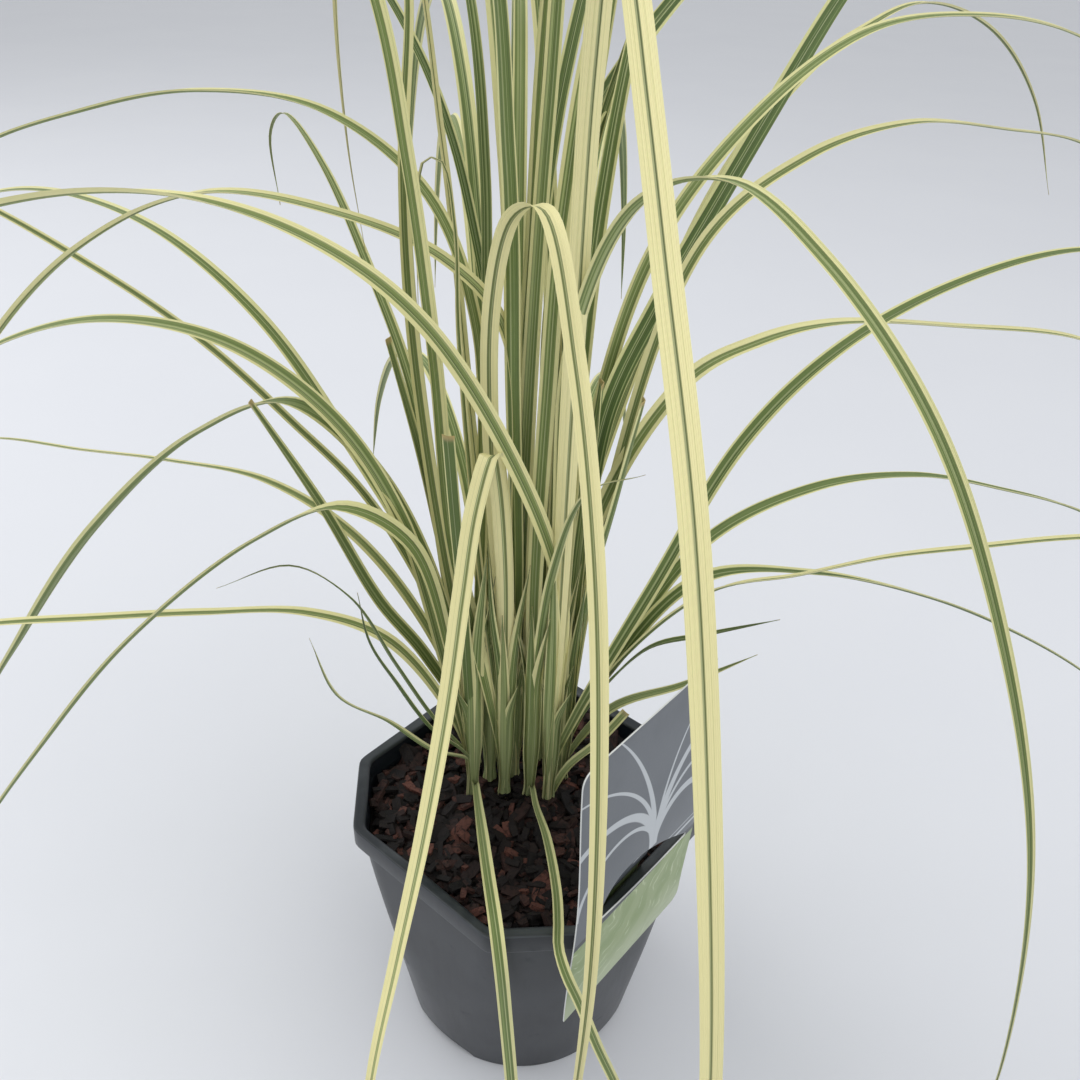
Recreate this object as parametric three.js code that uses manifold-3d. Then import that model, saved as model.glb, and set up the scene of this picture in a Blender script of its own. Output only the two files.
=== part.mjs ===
import * as THREE from 'three';
import { mergeVertices } from 'three/addons/utils/BufferGeometryUtils.js';
import Module from 'manifold-3d';

// Potted variegated pampas grass: a clump of leafy shoots in bark-topped soil, in a plastic
// nursery pot with a card label hooked over its rim. Millimetres, +Z up. The origin is the middle
// of the pot's underside. The rim is a square with cut corners: seen from above its short faces
// look along X and Y, and its long faces look along the diagonals.

const wasm = await Module();
wasm.setup();

// Pot
const POT_HEIGHT = 165;
const BASE_RADIUS = 70;
const BODY_SPREAD = 0.153;
const BODY_BENDS = [55, 105, 130];
const RIM_SHORT_FACE = 95;
const RIM_LONG_FACE = 85;
const FACE_LEAN = { short: 0.09, long: 0.02 };
const FACE_REACH = 0.1;
const RIM_SKIRT = 12.5;
const RIM_BAND = 5.8;
const RIM_OVERHANG = 4.6;
const RIM_EDGE = 1;
const RIM_DEEP = 3;
const WALL = 1.5;
const FLOOR = 3;
const CORNER_ROUNDNESS = 40;
const POINTS_ROUND_POT = 48;
const FOOT_GAP = { long: 44, high: 8, deep: 12 };
const DRAIN_HOLE = { count: 8, radius: 5, ring: 42 };

// Soil and bark
const CLEARANCE = 0.3;
const SOIL_TOP = 146;
const BARK_BED_TOP = 150;
const BANK = { high: 12, from: 15, to: 85 };
const BED_RINGS = [1, 0.75, 0.5, 0.25, 0.05];
const CHIPS = 64;
const CHIP_FIELD = 69;
const CHIP_SIZE = { long: 15, wide: 7, thick: 3 };
const CHIP_SPREAD = { size: [0.65, 0.7], long: [0.7, 0.3], wide: [0.6, 0.4], lift: [0.4, 2.2], tilt: 0.7 };
const CHIP_SEED = 11;

// Card label, seen from outside: across is the distance along the pot's long face, and up is
// measured from the rim's top. The slit is a lens, and the tongue above it tucks inside the rim.
const CARD = { left: -67, right: 34, bottom: -53, top: 124, corner: 8, thick: 0.8 };
const SLIT = { left: -48, right: 27, leftUp: 12, rightUp: 7 };
const SLIT_SAG = { across: -7.5, up: 6 };
const SLIT_PEAK = { across: -32, up: 52 };
const SLIT_ENDS = { left: 10, right: 2 };
const TONGUE = { left: -36, right: 2, lean: 0.3 };
const TONGUE_BENDS = { up: [50, 22, 3, 0.5, -7], fromCard: [0.7, -0.4], fromRim: [2.3, -1.2, -1.2] };

// Shoots
const SHOOT_FOOT = 106;
const SHEATH_TOP = 236;
const SHEATH_RADIUS = 4.2;
const SHEATH_SHARES = { foot: 0.8, top: 0.6 };
const SHEATH_BENDS = { foot: 10, top: 15 };
const SHEATH_SIDES = 8;
const HOLE_SPARE = 0.5;
const HOLE_OVER = 10;
const LEAF_ROOT = 178;
const LEAF_THICK = 1.1;
const LEAF_THIN = { least: 0.3, byWidth: 0.05, most: 0.5 };
const LEAF_FOLD = 0.13;
const LEAF_STEP = 46;
const LOW_LEAF_STEP = 22;
const LEAF_FRONT = 0.4;
const ROOT_WIDE = 0.62;
const ROOT_REACH = 0.2;
const TIP_WIDE = 1.3;
const TAPER = { long: 5, short: 3 };
const RUN_ON = { long: 80, dip: 18, steepest: -85, lowest: 20 };

// Each shoot has its foot on the bark, as [x, y], and its leaves. A leaf has a compass turn in
// degrees from +X, a width, and the points that its midline runs through after the root: how far
// out, how high above the table, and, where it bends sideways, how far to its left. A cut leaf
// stops at its last point, a whole one narrows to it, and any other runs on past it.
const SHOOTS = [
  { foot: [-30, 8], leaves: [
    { turn: 165, wide: 8, path: [[15, 250], [35, 335], [65, 385], [110, 415], [170, 420], [240, 395],
      [310, 340]] },
    { turn: 162, wide: 8.5, path: [[10, 262], [45, 355], [85, 387], [135, 365], [210, 295], [280, 205],
      [330, 130]] },
    { turn: 180, wide: 8, path: [[12, 260], [30, 328], [60, 347], [100, 330], [165, 275], [220, 210],
      [290, 110]] },
    { turn: 170, wide: 7, path: [[15, 220], [45, 262], [85, 274], [140, 268], [200, 258], [270, 245],
      [330, 225]] },
    { turn: 185, wide: 4, whole: true, path: [[22, 215], [40, 255], [60, 300], [85, 320],
      [120, 310]] },
    { turn: 220, wide: 4, whole: true, path: [[30, 225], [48, 265], [62, 300], [66, 330]] },
    { turn: 210, wide: 6, whole: true, path: [[25, 200], [50, 235], [75, 265], [85, 305]] },
    { turn: 120, wide: 7, whole: true, path: [[25, 290], [55, 385], [95, 432], [140, 470], [185, 486],
      [208, 470], [204, 435]] },
    { turn: -90, wide: 7, root: 150, cut: true, path: [[6, 166, 1], [20, 168, 2], [66, 168, 6],
      [104, 174, 9], [115, 160, 11], [118, 120, 14], [124, 62, 18], [128, 22, 20]] },
    { turn: 235, wide: 6, cut: true, path: [[8, 290], [14, 350], [18, 392]] },
  ] },
  { foot: [-20, 18], leaves: [
    { turn: 162, wide: 5, path: [[30, 270], [65, 335], [100, 370], [140, 405], [190, 435], [260, 465],
      [350, 475]] },
    { turn: 180, wide: 7, path: [[22, 300], [35, 430], [36, 500], [32, 565], [42, 620], [80, 640]] },
    { turn: 178, wide: 6, cut: true, path: [[22, 300], [34, 370], [46, 425]] },
  ] },
  { foot: [-12, 8], leaves: [
    { turn: 180, wide: 9, path: [[15, 260], [28, 330], [34, 420], [42, 500], [52, 560], [78, 620],
      [120, 648], [170, 640]] },
    { turn: 165, wide: 5, whole: true, path: [[16, 320], [24, 430], [25, 475], [30, 500], [36, 500],
      [40, 478], [41, 440]] },
    { turn: -115, wide: 9, path: [[2, 250], [6, 320], [10, 365, -2], [18, 383, -2], [31, 362, -5],
      [50, 329, -4], [77, 292, 6], [117, 247, 11], [154, 215, 15], [190, 189, 20]] },
    { turn: -150, wide: 6, whole: true, path: [[4, 240], [10, 290], [12, 330]] },
  ] },
  { foot: [-6, 20], leaves: [
    { turn: 172, wide: 7, path: [[3, 320], [10, 430], [35, 458], [80, 475], [135, 480], [190, 455],
      [245, 405], [290, 340]] },
    { turn: -90, wide: 8, path: [[2, 330, -12], [8, 440, -15], [20, 482, -8], [45, 492, 3],
      [85, 450, 12], [130, 392, 17], [165, 328, 18], [190, 250, 17], [203, 180, 13]] },
    { turn: 10, wide: 9, path: [[2, 320], [4, 420], [8, 520], [14, 600], [34, 660], [80, 685]] },
    { turn: 120, wide: 8, path: [[3, 300], [8, 400], [18, 500], [42, 590], [85, 630], [135, 620]] },
    { turn: 200, wide: 8, path: [[2, 300], [6, 400], [10, 500], [22, 590], [60, 650], [110, 640]] },
  ] },
  { foot: [2, 6], leaves: [
    { turn: -90, wide: 5.5, root: 150, cut: true, path: [[8, 166, 1], [20, 165, 2], [46, 168, 6],
      [80, 170, 8], [100, 172, 7], [112, 171, 6], [119, 163, 9], [123, 145, 16], [126, 110, 27],
      [127, 70, 40], [128, 30, 50]] },
    { turn: -60, wide: 7, whole: true, path: [[4, 250], [14, 320], [34, 372], [70, 400]] },
    { turn: 40, wide: 8, path: [[2, 300, 3], [5, 400, 3], [10, 480, 3], [24, 560], [60, 610]] },
  ] },
  { foot: [13, 2], leaves: [
    { turn: 180, wide: 9, path: [[-2, 250], [0, 300], [22, 368, 2], [62, 440, 5], [100, 472, 5],
      [150, 490, 5], [215, 485], [300, 452], [370, 395]] },
    { turn: -85, wide: 9.5, path: [[2, 330], [4, 440], [10, 540], [24, 588], [50, 572], [82, 540],
      [115, 505], [168, 448], [212, 375], [245, 300], [262, 220], [272, 150]] },
    { turn: -55, wide: 7.5, whole: true, path: [[-2, 330], [0, 430], [30, 494], [72, 512], [114, 497],
      [162, 461], [200, 408], [233, 337], [254, 240], [258, 160]] },
    { turn: 15, wide: 7.5, path: [[12, 210], [50, 290], [90, 370], [130, 410], [185, 437], [260, 450],
      [340, 435]] },
    { turn: 35, wide: 6, root: 152, cut: true, path: [[12, 168], [35, 174], [58, 186]] },
    { turn: 62, wide: 8.5, path: [[3, 300], [10, 400], [24, 480], [50, 545]] },
  ] },
  { foot: [-28, 30], leaves: [
    { turn: 170, wide: 7, path: [[-3, 330], [0, 430], [20, 483], [60, 512], [110, 517], [160, 507],
      [215, 487], [290, 430]] },
    { turn: 155, wide: 6, path: [[30, 250], [70, 297], [120, 318], [185, 316], [245, 309],
      [320, 300]] },
    { turn: 145, wide: 7, path: [[22, 265], [82, 350], [127, 398], [187, 430], [252, 440], [322, 432],
      [400, 400]] },
    { turn: 180, wide: 7, cut: true, path: [[28, 240], [50, 276], [75, 335], [102, 390]] },
  ] },
  { foot: [-8, 40], leaves: [
    { turn: 165, wide: 5, whole: true, path: [[20, 350], [34, 500], [48, 585], [66, 606], [75, 560],
      [75, 500], [70, 450]] },
    { turn: 180, wide: 8, path: [[12, 330], [15, 430], [16, 490], [22, 555], [40, 620], [80, 660]] },
    { turn: 88, wide: 7, path: [[6, 330], [20, 450], [60, 540], [120, 560], [190, 520]] },
    { turn: 60, wide: 7.5, path: [[5, 310], [15, 420], [40, 520], [90, 590], [150, 600]] },
  ] },
  { foot: [10, 32], leaves: [
    { turn: 40, wide: 8, path: [[-2, 330], [-5, 430], [2, 475], [14, 510], [38, 535], [72, 560],
      [120, 585], [180, 590]] },
    { turn: 20, wide: 7, path: [[15, 330, 1], [45, 450, 3], [85, 505], [140, 540], [205, 546],
      [275, 535], [350, 500]] },
    { turn: 0, wide: 9, path: [[-8, 300], [-14, 390], [-12, 460], [-9, 550], [-2, 620], [22, 680],
      [60, 700]] },
    { turn: 30, wide: 4, path: [[-3, 400, -5], [-5, 475, -5], [0, 505, -5], [5, 545, -4], [25, 600],
      [60, 625]] },
    { turn: 30, wide: 4, path: [[2, 400], [6, 465], [14, 500], [22, 525], [40, 560], [80, 590]] },
    { turn: 60, wide: 7, path: [[3, 320], [10, 420], [26, 520], [60, 600], [110, 630]] },
  ] },
  { foot: [22, 18], leaves: [
    { turn: 40, wide: 9.5, path: [[5, 290], [15, 385], [45, 430], [80, 470], [117, 510], [155, 549],
      [205, 588], [270, 605]] },
    { turn: 20, wide: 6, path: [[15, 330], [52, 462], [100, 495], [155, 506], [215, 500], [270, 490],
      [340, 455]] },
    { turn: 15, wide: 8, path: [[10, 330], [50, 400], [85, 415], [125, 420], [205, 410], [285, 395],
      [350, 365]] },
    { turn: 10, wide: 7, path: [[25, 235], [70, 310], [125, 335], [185, 336], [245, 320], [300, 300],
      [365, 262]] },
    { turn: 0, wide: 7, path: [[25, 240], [65, 295], [125, 297], [190, 280], [245, 255], [295, 225],
      [345, 185]] },
    { turn: -10, wide: 6, path: [[28, 245], [70, 296], [110, 310], [150, 325], [190, 335], [235, 345],
      [310, 352]] },
    { turn: 2, wide: 6, root: 165, whole: true, path: [[25, 205], [65, 220], [105, 240]] },
    { turn: -12, wide: 6, whole: true, path: [[40, 255], [70, 270], [105, 285]] },
    { turn: 8, wide: 9, cut: true, path: [[2, 290], [5, 350], [8, 405]] },
    { turn: -2, wide: 8, cut: true, path: [[8, 280], [18, 340], [27, 397]] },
  ] },
  { foot: [-18, 50], leaves: [
    { turn: 130, wide: 5, path: [[0, 330], [5, 425], [15, 462], [28, 495], [48, 525], [80, 555],
      [130, 585], [180, 590]] },
    { turn: 100, wide: 8, path: [[6, 300], [25, 420], [70, 510], [130, 545], [200, 520], [260, 450]] },
    { turn: 96, wide: 7, path: [[10, 280], [40, 370], [95, 445], [160, 475], [230, 455], [290, 390]] },
    { turn: 108, wide: 7.5, path: [[15, 250], [50, 320], [110, 350], [180, 330], [240, 270]] },
  ] },
  { foot: [12, 52], leaves: [
    { turn: 30, wide: 6, path: [[30, 330], [90, 470], [140, 518], [175, 535], [215, 545], [280, 530],
      [340, 490]] },
    { turn: 75, wide: 8, path: [[8, 290], [35, 400], [85, 470], [150, 490], [220, 460], [280, 390]] },
    { turn: 85, wide: 7.5, path: [[10, 260], [45, 350], [100, 400], [170, 395], [230, 340],
      [270, 270]] },
    { turn: 72, wide: 7, path: [[12, 240], [50, 310], [110, 335], [180, 315], [250, 260]] },
    { turn: 105, wide: 8, path: [[4, 330], [16, 450], [50, 560], [110, 620], [170, 615]] },
  ] },
];

const SLIVER = 0.02;

function seededRandom(seed) {
  let state = seed;
  return () => {
    state = (state * 1664525 + 1013904223) % 4294967296;
    return state / 4294967296;
  };
}

// A closed geometry with its shared corners merged, as a solid that can be joined and cut.
function solidFrom(geometry) {
  const bare = geometry.clone();
  bare.deleteAttribute('normal');
  bare.deleteAttribute('uv');
  const merged = mergeVertices(bare, 1e-4);
  const vertProperties = new Float32Array(merged.attributes.position.array);
  const triVerts = new Uint32Array(merged.index.array);
  return new wasm.Manifold(new wasm.Mesh({ numProp: 3, vertProperties, triVerts }));
}

function solidFromPoints(points, triangles) {
  const geometry = new THREE.BufferGeometry().setFromPoints(points);
  geometry.setIndex(triangles);
  return solidFrom(geometry);
}

// Joined solids as one body: scraps, sealed hollows and slivers of triangles are left out.
function fuse(solids) {
  const bodies = wasm.Manifold.union(solids).decompose();
  const largest = bodies.reduce((most, body) => (body.volume() > most.volume() ? body : most));
  return largest.simplify(SLIVER);
}

function meshFrom(name, solid, look) {
  const { vertProperties, triVerts } = solid.getMesh();
  const geometry = new THREE.BufferGeometry();
  geometry.setAttribute('position', new THREE.BufferAttribute(new Float32Array(vertProperties), 3));
  geometry.setIndex(new THREE.BufferAttribute(new Uint32Array(triVerts), 1));
  geometry.computeVertexNormals();
  const mesh = new THREE.Mesh(geometry, new THREE.MeshStandardMaterial({ metalness: 0, ...look }));
  mesh.name = name;
  return mesh;
}

// A body lofted through closed rings of points, with a flat fan over the first and the last ring.
function loft(rings) {
  const points = rings.flat();
  const triangles = [];
  const count = rings[0].length;
  for (let row = 0; row + 1 < rings.length; row += 1) {
    for (let i = 0; i < count; i += 1) {
      const next = (i + 1) % count;
      const a = row * count + i;
      const b = row * count + next;
      triangles.push(a, b, b + count, a, b + count, a + count);
    }
  }
  const last = (rings.length - 1) * count;
  for (let i = 1; i + 1 < count; i += 1) {
    triangles.push(0, i + 1, i);
    triangles.push(last, last + i, last + i + 1);
  }
  return solidFromPoints(points, triangles);
}

function ring(radiusAt, z, count = POINTS_ROUND_POT) {
  return Array.from({ length: count }, (_, i) => {
    const angle = (2 * Math.PI * i) / count;
    const radius = radiusAt(angle, z);
    return new THREE.Vector3(radius * Math.cos(angle), radius * Math.sin(angle), z);
  });
}

// The distance to the nearest of several walls, with the corner between two walls rounded.
function nearestWall(distances) {
  const sum = distances.reduce((total, distance) => total + distance ** -CORNER_ROUNDNESS, 0);
  return sum ** (-1 / CORNER_ROUNDNESS);
}

// The eight flat faces of the cut-corner square, as distances along one direction.
function faceDistances(angle, shortFace, longFace) {
  const distances = [];
  for (let k = 0; k < 8; k += 1) {
    const facing = Math.cos(angle - (k * Math.PI) / 4);
    if (facing > FACE_REACH) distances.push((k % 2 ? longFace : shortFace) / facing);
  }
  return distances;
}

const rimRadius = (inset) => (angle) =>
  nearestWall(faceDistances(angle, RIM_SHORT_FACE, RIM_LONG_FACE)) - inset;

// The body is a cone whose sides turn into the eight faces of the rim higher up.
const bodyRadius = (inset) => (angle, z) => {
  const below = POT_HEIGHT - RIM_SKIRT - z;
  const shortFace = RIM_SHORT_FACE - RIM_OVERHANG - FACE_LEAN.short * below;
  const longFace = RIM_LONG_FACE - RIM_OVERHANG - FACE_LEAN.long * below;
  const cone = BASE_RADIUS + BODY_SPREAD * z;
  return nearestWall([cone, ...faceDistances(angle, shortFace, longFace)]) - inset;
};

function cylinderAt(x, y, bottom, top, radius, sides) {
  const geometry = new THREE.CylinderGeometry(radius, radius, top - bottom, sides);
  geometry.rotateX(Math.PI / 2);
  geometry.translate(x, y, (top + bottom) / 2);
  return solidFrom(geometry);
}

function makePot() {
  const body = bodyRadius(0);
  const inside = bodyRadius(WALL);
  const underRim = POT_HEIGHT - WALL;
  const skirtEnd = POT_HEIGHT - RIM_SKIRT;
  const shell = loft([
    ...[0, ...BODY_BENDS, underRim].map((z) => ring(body, z)),
    ring(rimRadius(WALL), underRim),
    ring(rimRadius(WALL), skirtEnd),
    ring(rimRadius(0), skirtEnd),
    ring(rimRadius(0), POT_HEIGHT - RIM_EDGE),
    ring(rimRadius(RIM_EDGE), POT_HEIGHT),
    ring(rimRadius(RIM_BAND), POT_HEIGHT),
    ring(inside, POT_HEIGHT - RIM_DEEP),
    ...[SOIL_TOP, 105, 55, FLOOR].map((z) => ring(inside, z)),
  ]);
  const cuts = [];
  for (let k = 0; k < 4; k += 1) {
    const gap = new THREE.BoxGeometry(FOOT_GAP.deep, FOOT_GAP.long, 2 * FOOT_GAP.high);
    gap.translate(BASE_RADIUS, 0, 0);
    gap.rotateZ(Math.PI / 4 + (k * Math.PI) / 2);
    cuts.push(solidFrom(gap));
  }
  for (let k = 0; k < DRAIN_HOLE.count; k += 1) {
    const angle = ((k + 0.5) * 2 * Math.PI) / DRAIN_HOLE.count;
    const x = DRAIN_HOLE.ring * Math.cos(angle);
    const y = DRAIN_HOLE.ring * Math.sin(angle);
    cuts.push(cylinderAt(x, y, -1, FLOOR + 1, DRAIN_HOLE.radius, 8));
  }
  const pot = shell.subtract(wasm.Manifold.union(cuts));
  return meshFrom('pot', pot, { color: 0x3c444b, roughness: 0.42 });
}

// Plain holes for the shoots, down to their feet.
function shootHoles(bottom) {
  const radius = SHEATH_RADIUS + HOLE_SPARE;
  return wasm.Manifold.union(
    SHOOTS.map(({ foot: [x, y] }) => cylinderAt(x, y, bottom, POT_HEIGHT + HOLE_OVER, radius, SHEATH_SIDES)),
  );
}

function makeSoil() {
  const inside = bodyRadius(WALL + 2 * CLEARANCE);
  const heights = [FLOOR + CLEARANCE, 55, 105, SOIL_TOP];
  const soil = loft(heights.map((z) => ring(inside, z, POINTS_ROUND_POT / 2)));
  const holes = shootHoles(SHOOT_FOOT - CLEARANCE);
  return meshFrom('soil', soil.subtract(holes), { color: 0x1e1815, roughness: 0.95 });
}

// How much higher the bark lies towards the back of the pot.
function bankAt(y) {
  return BANK.high * THREE.MathUtils.smoothstep(y, BANK.from, BANK.to);
}

function barkChip(random, index) {
  const spread = ([least, range]) => least + range * random();
  const share = (index + 0.5) / CHIPS;
  const angle = index * Math.PI * (3 - Math.sqrt(5));
  const x = CHIP_FIELD * Math.sqrt(share) * Math.cos(angle);
  const y = CHIP_FIELD * Math.sqrt(share) * Math.sin(angle);
  const size = spread(CHIP_SPREAD.size);
  const chip = new THREE.BoxGeometry(CHIP_SIZE.long * size, CHIP_SIZE.wide * size, CHIP_SIZE.thick);
  const corners = mergeVertices(chip.deleteAttribute('normal').deleteAttribute('uv'));
  const position = corners.attributes.position;
  for (let i = 0; i < position.count; i += 1) {
    position.setX(i, position.getX(i) * spread(CHIP_SPREAD.long));
    position.setY(i, position.getY(i) * spread(CHIP_SPREAD.wide));
  }
  corners.rotateX(CHIP_SPREAD.tilt * (random() - 0.5));
  corners.rotateY(CHIP_SPREAD.tilt * (random() - 0.5));
  corners.rotateZ(2 * Math.PI * random());
  corners.translate(x, y, BARK_BED_TOP + bankAt(y) + spread(CHIP_SPREAD.lift));
  return solidFrom(corners);
}

function makeBark() {
  const random = seededRandom(CHIP_SEED);
  const inside = bodyRadius(WALL + CLEARANCE);
  const edge = ring(inside, BARK_BED_TOP, POINTS_ROUND_POT / 2);
  const top = BED_RINGS.map((share) => edge.map(({ x, y }) =>
    new THREE.Vector3(share * x, share * y, BARK_BED_TOP + bankAt(share * y))));
  const bed = loft([ring(inside, SOIL_TOP + CLEARANCE, POINTS_ROUND_POT / 2), ...top]);
  const chips = Array.from({ length: CHIPS }, (_, i) => barkChip(random, i));
  const below = loft([FLOOR, SOIL_TOP + CLEARANCE].map((z) => ring(rimRadius(0), z, 8)));
  const cover = fuse([bed, ...chips]).subtract(below).subtract(shootHoles(SOIL_TOP - 1));
  return meshFrom('bark_mulch', fuse([cover]), { color: 0x4a2a22, roughness: 0.85 });
}

// The card stands upright along the pot's right front long face. It is drawn flat, across and up,
// and then turned so that its back lies against the rim's skirt.
function standOnLongFace(geometry) {
  const across = new THREE.Vector3(1, 1, 0).normalize();
  const up = new THREE.Vector3(0, 0, 1);
  const out = new THREE.Vector3(1, -1, 0).normalize();
  geometry.applyMatrix4(new THREE.Matrix4().makeBasis(across, up, out));
  geometry.translate(0, 0, POT_HEIGHT);
  return geometry;
}

function makeLabel() {
  const { left, right, bottom, top, corner, thick } = CARD;
  const outline = new THREE.Shape();
  outline.moveTo(left, bottom);
  outline.lineTo(right - corner, bottom);
  outline.quadraticCurveTo(right, bottom, right, bottom + corner);
  outline.lineTo(right, top);
  outline.lineTo(left + corner, top);
  outline.quadraticCurveTo(left, top, left, top - corner);
  outline.closePath();
  const slit = new THREE.Path();
  slit.moveTo(SLIT.left, SLIT.leftUp);
  slit.quadraticCurveTo(SLIT_SAG.across, SLIT_SAG.up, SLIT.right, SLIT.rightUp);
  slit.lineTo(SLIT.right, SLIT.rightUp + SLIT_ENDS.right);
  slit.quadraticCurveTo(SLIT_PEAK.across, SLIT_PEAK.up, SLIT.left, SLIT.leftUp + SLIT_ENDS.left);
  slit.closePath();
  outline.holes.push(slit);
  const card = new THREE.ExtrudeGeometry(outline, { depth: thick, bevelEnabled: false, curveSegments: 5 });
  const cardBack = RIM_LONG_FACE + CLEARANCE;
  card.translate(0, 0, cardBack);

  // The tongue: a bent strip seen from its side, as [depth, up]. It leans in over the rim's top and
  // hangs inside it.
  const rimInside = RIM_LONG_FACE - RIM_BAND;
  const { up, fromCard, fromRim } = TONGUE_BENDS;
  const depths = [...fromCard.map((d) => cardBack + d), ...fromRim.map((d) => rimInside + d)];
  const line = depths.map((depth, i) => new THREE.Vector2(depth, up[i]));
  const back = line.map(({ x, y }) => new THREE.Vector2(x - thick, y + TONGUE.lean)).reverse();
  const strip = new THREE.Shape([...line, ...back]);
  const tongue = new THREE.ExtrudeGeometry(strip, { depth: TONGUE.right - TONGUE.left, bevelEnabled: false });
  // From its own (depth, up, width) to (across, up, depth).
  tongue.applyMatrix4(new THREE.Matrix4().makeBasis(
    new THREE.Vector3(0, 0, 1), new THREE.Vector3(0, 1, 0), new THREE.Vector3(-1, 0, 0),
  ));
  tongue.translate(TONGUE.right, 0, 0);
  const label = fuse([solidFrom(standOnLongFace(card)), solidFrom(standOnLongFace(tongue))]);
  return meshFrom('label_card', label, { color: 0x64696e, roughness: 0.35 });
}

function leafPoint([x, y], turn, [out, up, side = 0]) {
  const angle = THREE.MathUtils.degToRad(turn);
  const ahead = new THREE.Vector3(Math.cos(angle), Math.sin(angle), 0);
  const left = new THREE.Vector3(-Math.sin(angle), Math.cos(angle), 0);
  return new THREE.Vector3(x, y, up).addScaledVector(ahead, out).addScaledVector(left, side);
}

// The midline of a leaf. One that is neither cut nor whole runs on a little past its last point,
// tipping down as it goes.
function midline(foot, { turn, path, cut, whole, root = LEAF_ROOT }) {
  const points = [[0, root], ...path];
  const [lastOut, lastUp, lastSide = 0] = points.at(-1);
  const [out, up, side = 0] = points.at(-2);
  if (!cut && !whole) {
    const step = RUN_ON.long / Math.hypot(lastOut - out, lastUp - up);
    const slope = THREE.MathUtils.radToDeg(Math.atan2(lastUp - up, lastOut - out)) - RUN_ON.dip;
    const angle = THREE.MathUtils.degToRad(Math.max(RUN_ON.steepest, slope));
    points.push([
      lastOut + RUN_ON.long * Math.cos(angle),
      Math.max(RUN_ON.lowest, lastUp + RUN_ON.long * Math.sin(angle)),
      lastSide + (lastSide - side) * step,
    ]);
  }
  return new THREE.CatmullRomCurve3(points.map((point) => leafPoint(foot, turn, point)));
}

// A leaf narrows a little to its root and runs out to a long thin tip, unless its end was cut.
function leafWidth(wide, along, taper) {
  const fromRoot = ROOT_WIDE + (1 - ROOT_WIDE) * Math.min(1, along / ROOT_REACH);
  const toTip = taper ? 1 - along ** taper : 1;
  return Math.max(TIP_WIDE, wide * fromRoot * toTip);
}

// The way that a blade faces at its root, turned part of the way to the front or the back.
function rootTurn(turn) {
  const nearest = turn < 0 || turn > 180 ? -90 : 90;
  const from = turn > 180 ? turn - 360 : turn;
  return turn - from + nearest + (from - nearest) * LEAF_FRONT;
}

// A leaf blade folded along its midrib: four corners at each step along the midline.
function leafBlade(foot, leaf) {
  const { turn, wide, cut, whole } = leaf;
  const line = midline(foot, leaf);
  const steps = Math.ceil(line.getLength() / (leaf.root ? LOW_LEAF_STEP : LEAF_STEP)) + 1;
  const taper = cut ? 0 : TAPER[whole ? 'short' : 'long'];
  const twist = rootTurn(turn) - turn;
  const points = [];
  const triangles = [];
  for (let i = 0; i <= steps; i += 1) {
    const along = i / steps;
    const middle = line.getPointAt(along);
    const ahead = line.getTangentAt(along);
    const left = leafPoint([0, 0], turn + twist * (1 - along ** 3), [0, 0, 1]);
    const across = left.clone().addScaledVector(ahead, -left.dot(ahead)).normalize();
    const above = new THREE.Vector3().crossVectors(ahead, across);
    const width = leafWidth(wide, along, taper);
    const half = LEAF_THICK * Math.min(LEAF_THIN.most, LEAF_THIN.least + LEAF_THIN.byWidth * width);
    const fold = LEAF_FOLD * width;
    points.push(
      middle.clone().addScaledVector(across, width / 2).addScaledVector(above, fold),
      middle.clone().addScaledVector(above, half),
      middle.clone().addScaledVector(across, -width / 2).addScaledVector(above, fold),
      middle.clone().addScaledVector(above, -half),
    );
    if (i === steps) break;
    for (let k = 0; k < 4; k += 1) {
      const a = 4 * i + k;
      const b = 4 * i + ((k + 1) % 4);
      // Both faces of a twisted blade are split along the same diagonal, so they never cross.
      triangles.push(...(k < 2 ? [a, b, b + 4, a, b + 4, a + 4] : [a, b, a + 4, b, b + 4, a + 4]));
    }
  }
  const last = 4 * steps;
  triangles.push(0, 3, 1, 1, 3, 2, last, last + 1, last + 3, last + 1, last + 2, last + 3);
  return solidFromPoints(points, triangles);
}

function sheath([x, y]) {
  const stem = new THREE.LatheGeometry([
    new THREE.Vector2(0, SHOOT_FOOT),
    new THREE.Vector2(SHEATH_RADIUS * SHEATH_SHARES.foot, SHOOT_FOOT),
    new THREE.Vector2(SHEATH_RADIUS, SHOOT_FOOT + SHEATH_BENDS.foot),
    new THREE.Vector2(SHEATH_RADIUS, BARK_BED_TOP + SHEATH_BENDS.top),
    new THREE.Vector2(SHEATH_RADIUS * SHEATH_SHARES.top, SHEATH_TOP),
    new THREE.Vector2(0, SHEATH_TOP),
  ], SHEATH_SIDES);
  stem.rotateX(Math.PI / 2);
  stem.rotateZ(Math.PI / SHEATH_SIDES);
  stem.translate(x, y, 0);
  return solidFrom(stem);
}

function makeShoot({ foot, leaves }, index) {
  const name = `shoot_${String(index + 1).padStart(2, '0')}`;
  const blades = leaves.map((leaf) => leafBlade(foot, leaf));
  return meshFrom(name, fuse([sheath(foot), ...blades]), { color: 0x93a35c, roughness: 0.5 });
}

const plant = new THREE.Group();
plant.add(makePot(), makeSoil(), makeBark(), makeLabel(), ...SHOOTS.map(makeShoot));

export default plant;
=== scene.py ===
import math
import random

import bmesh
import bpy
import numpy as np
from mathutils import Matrix, Vector, noise


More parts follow.
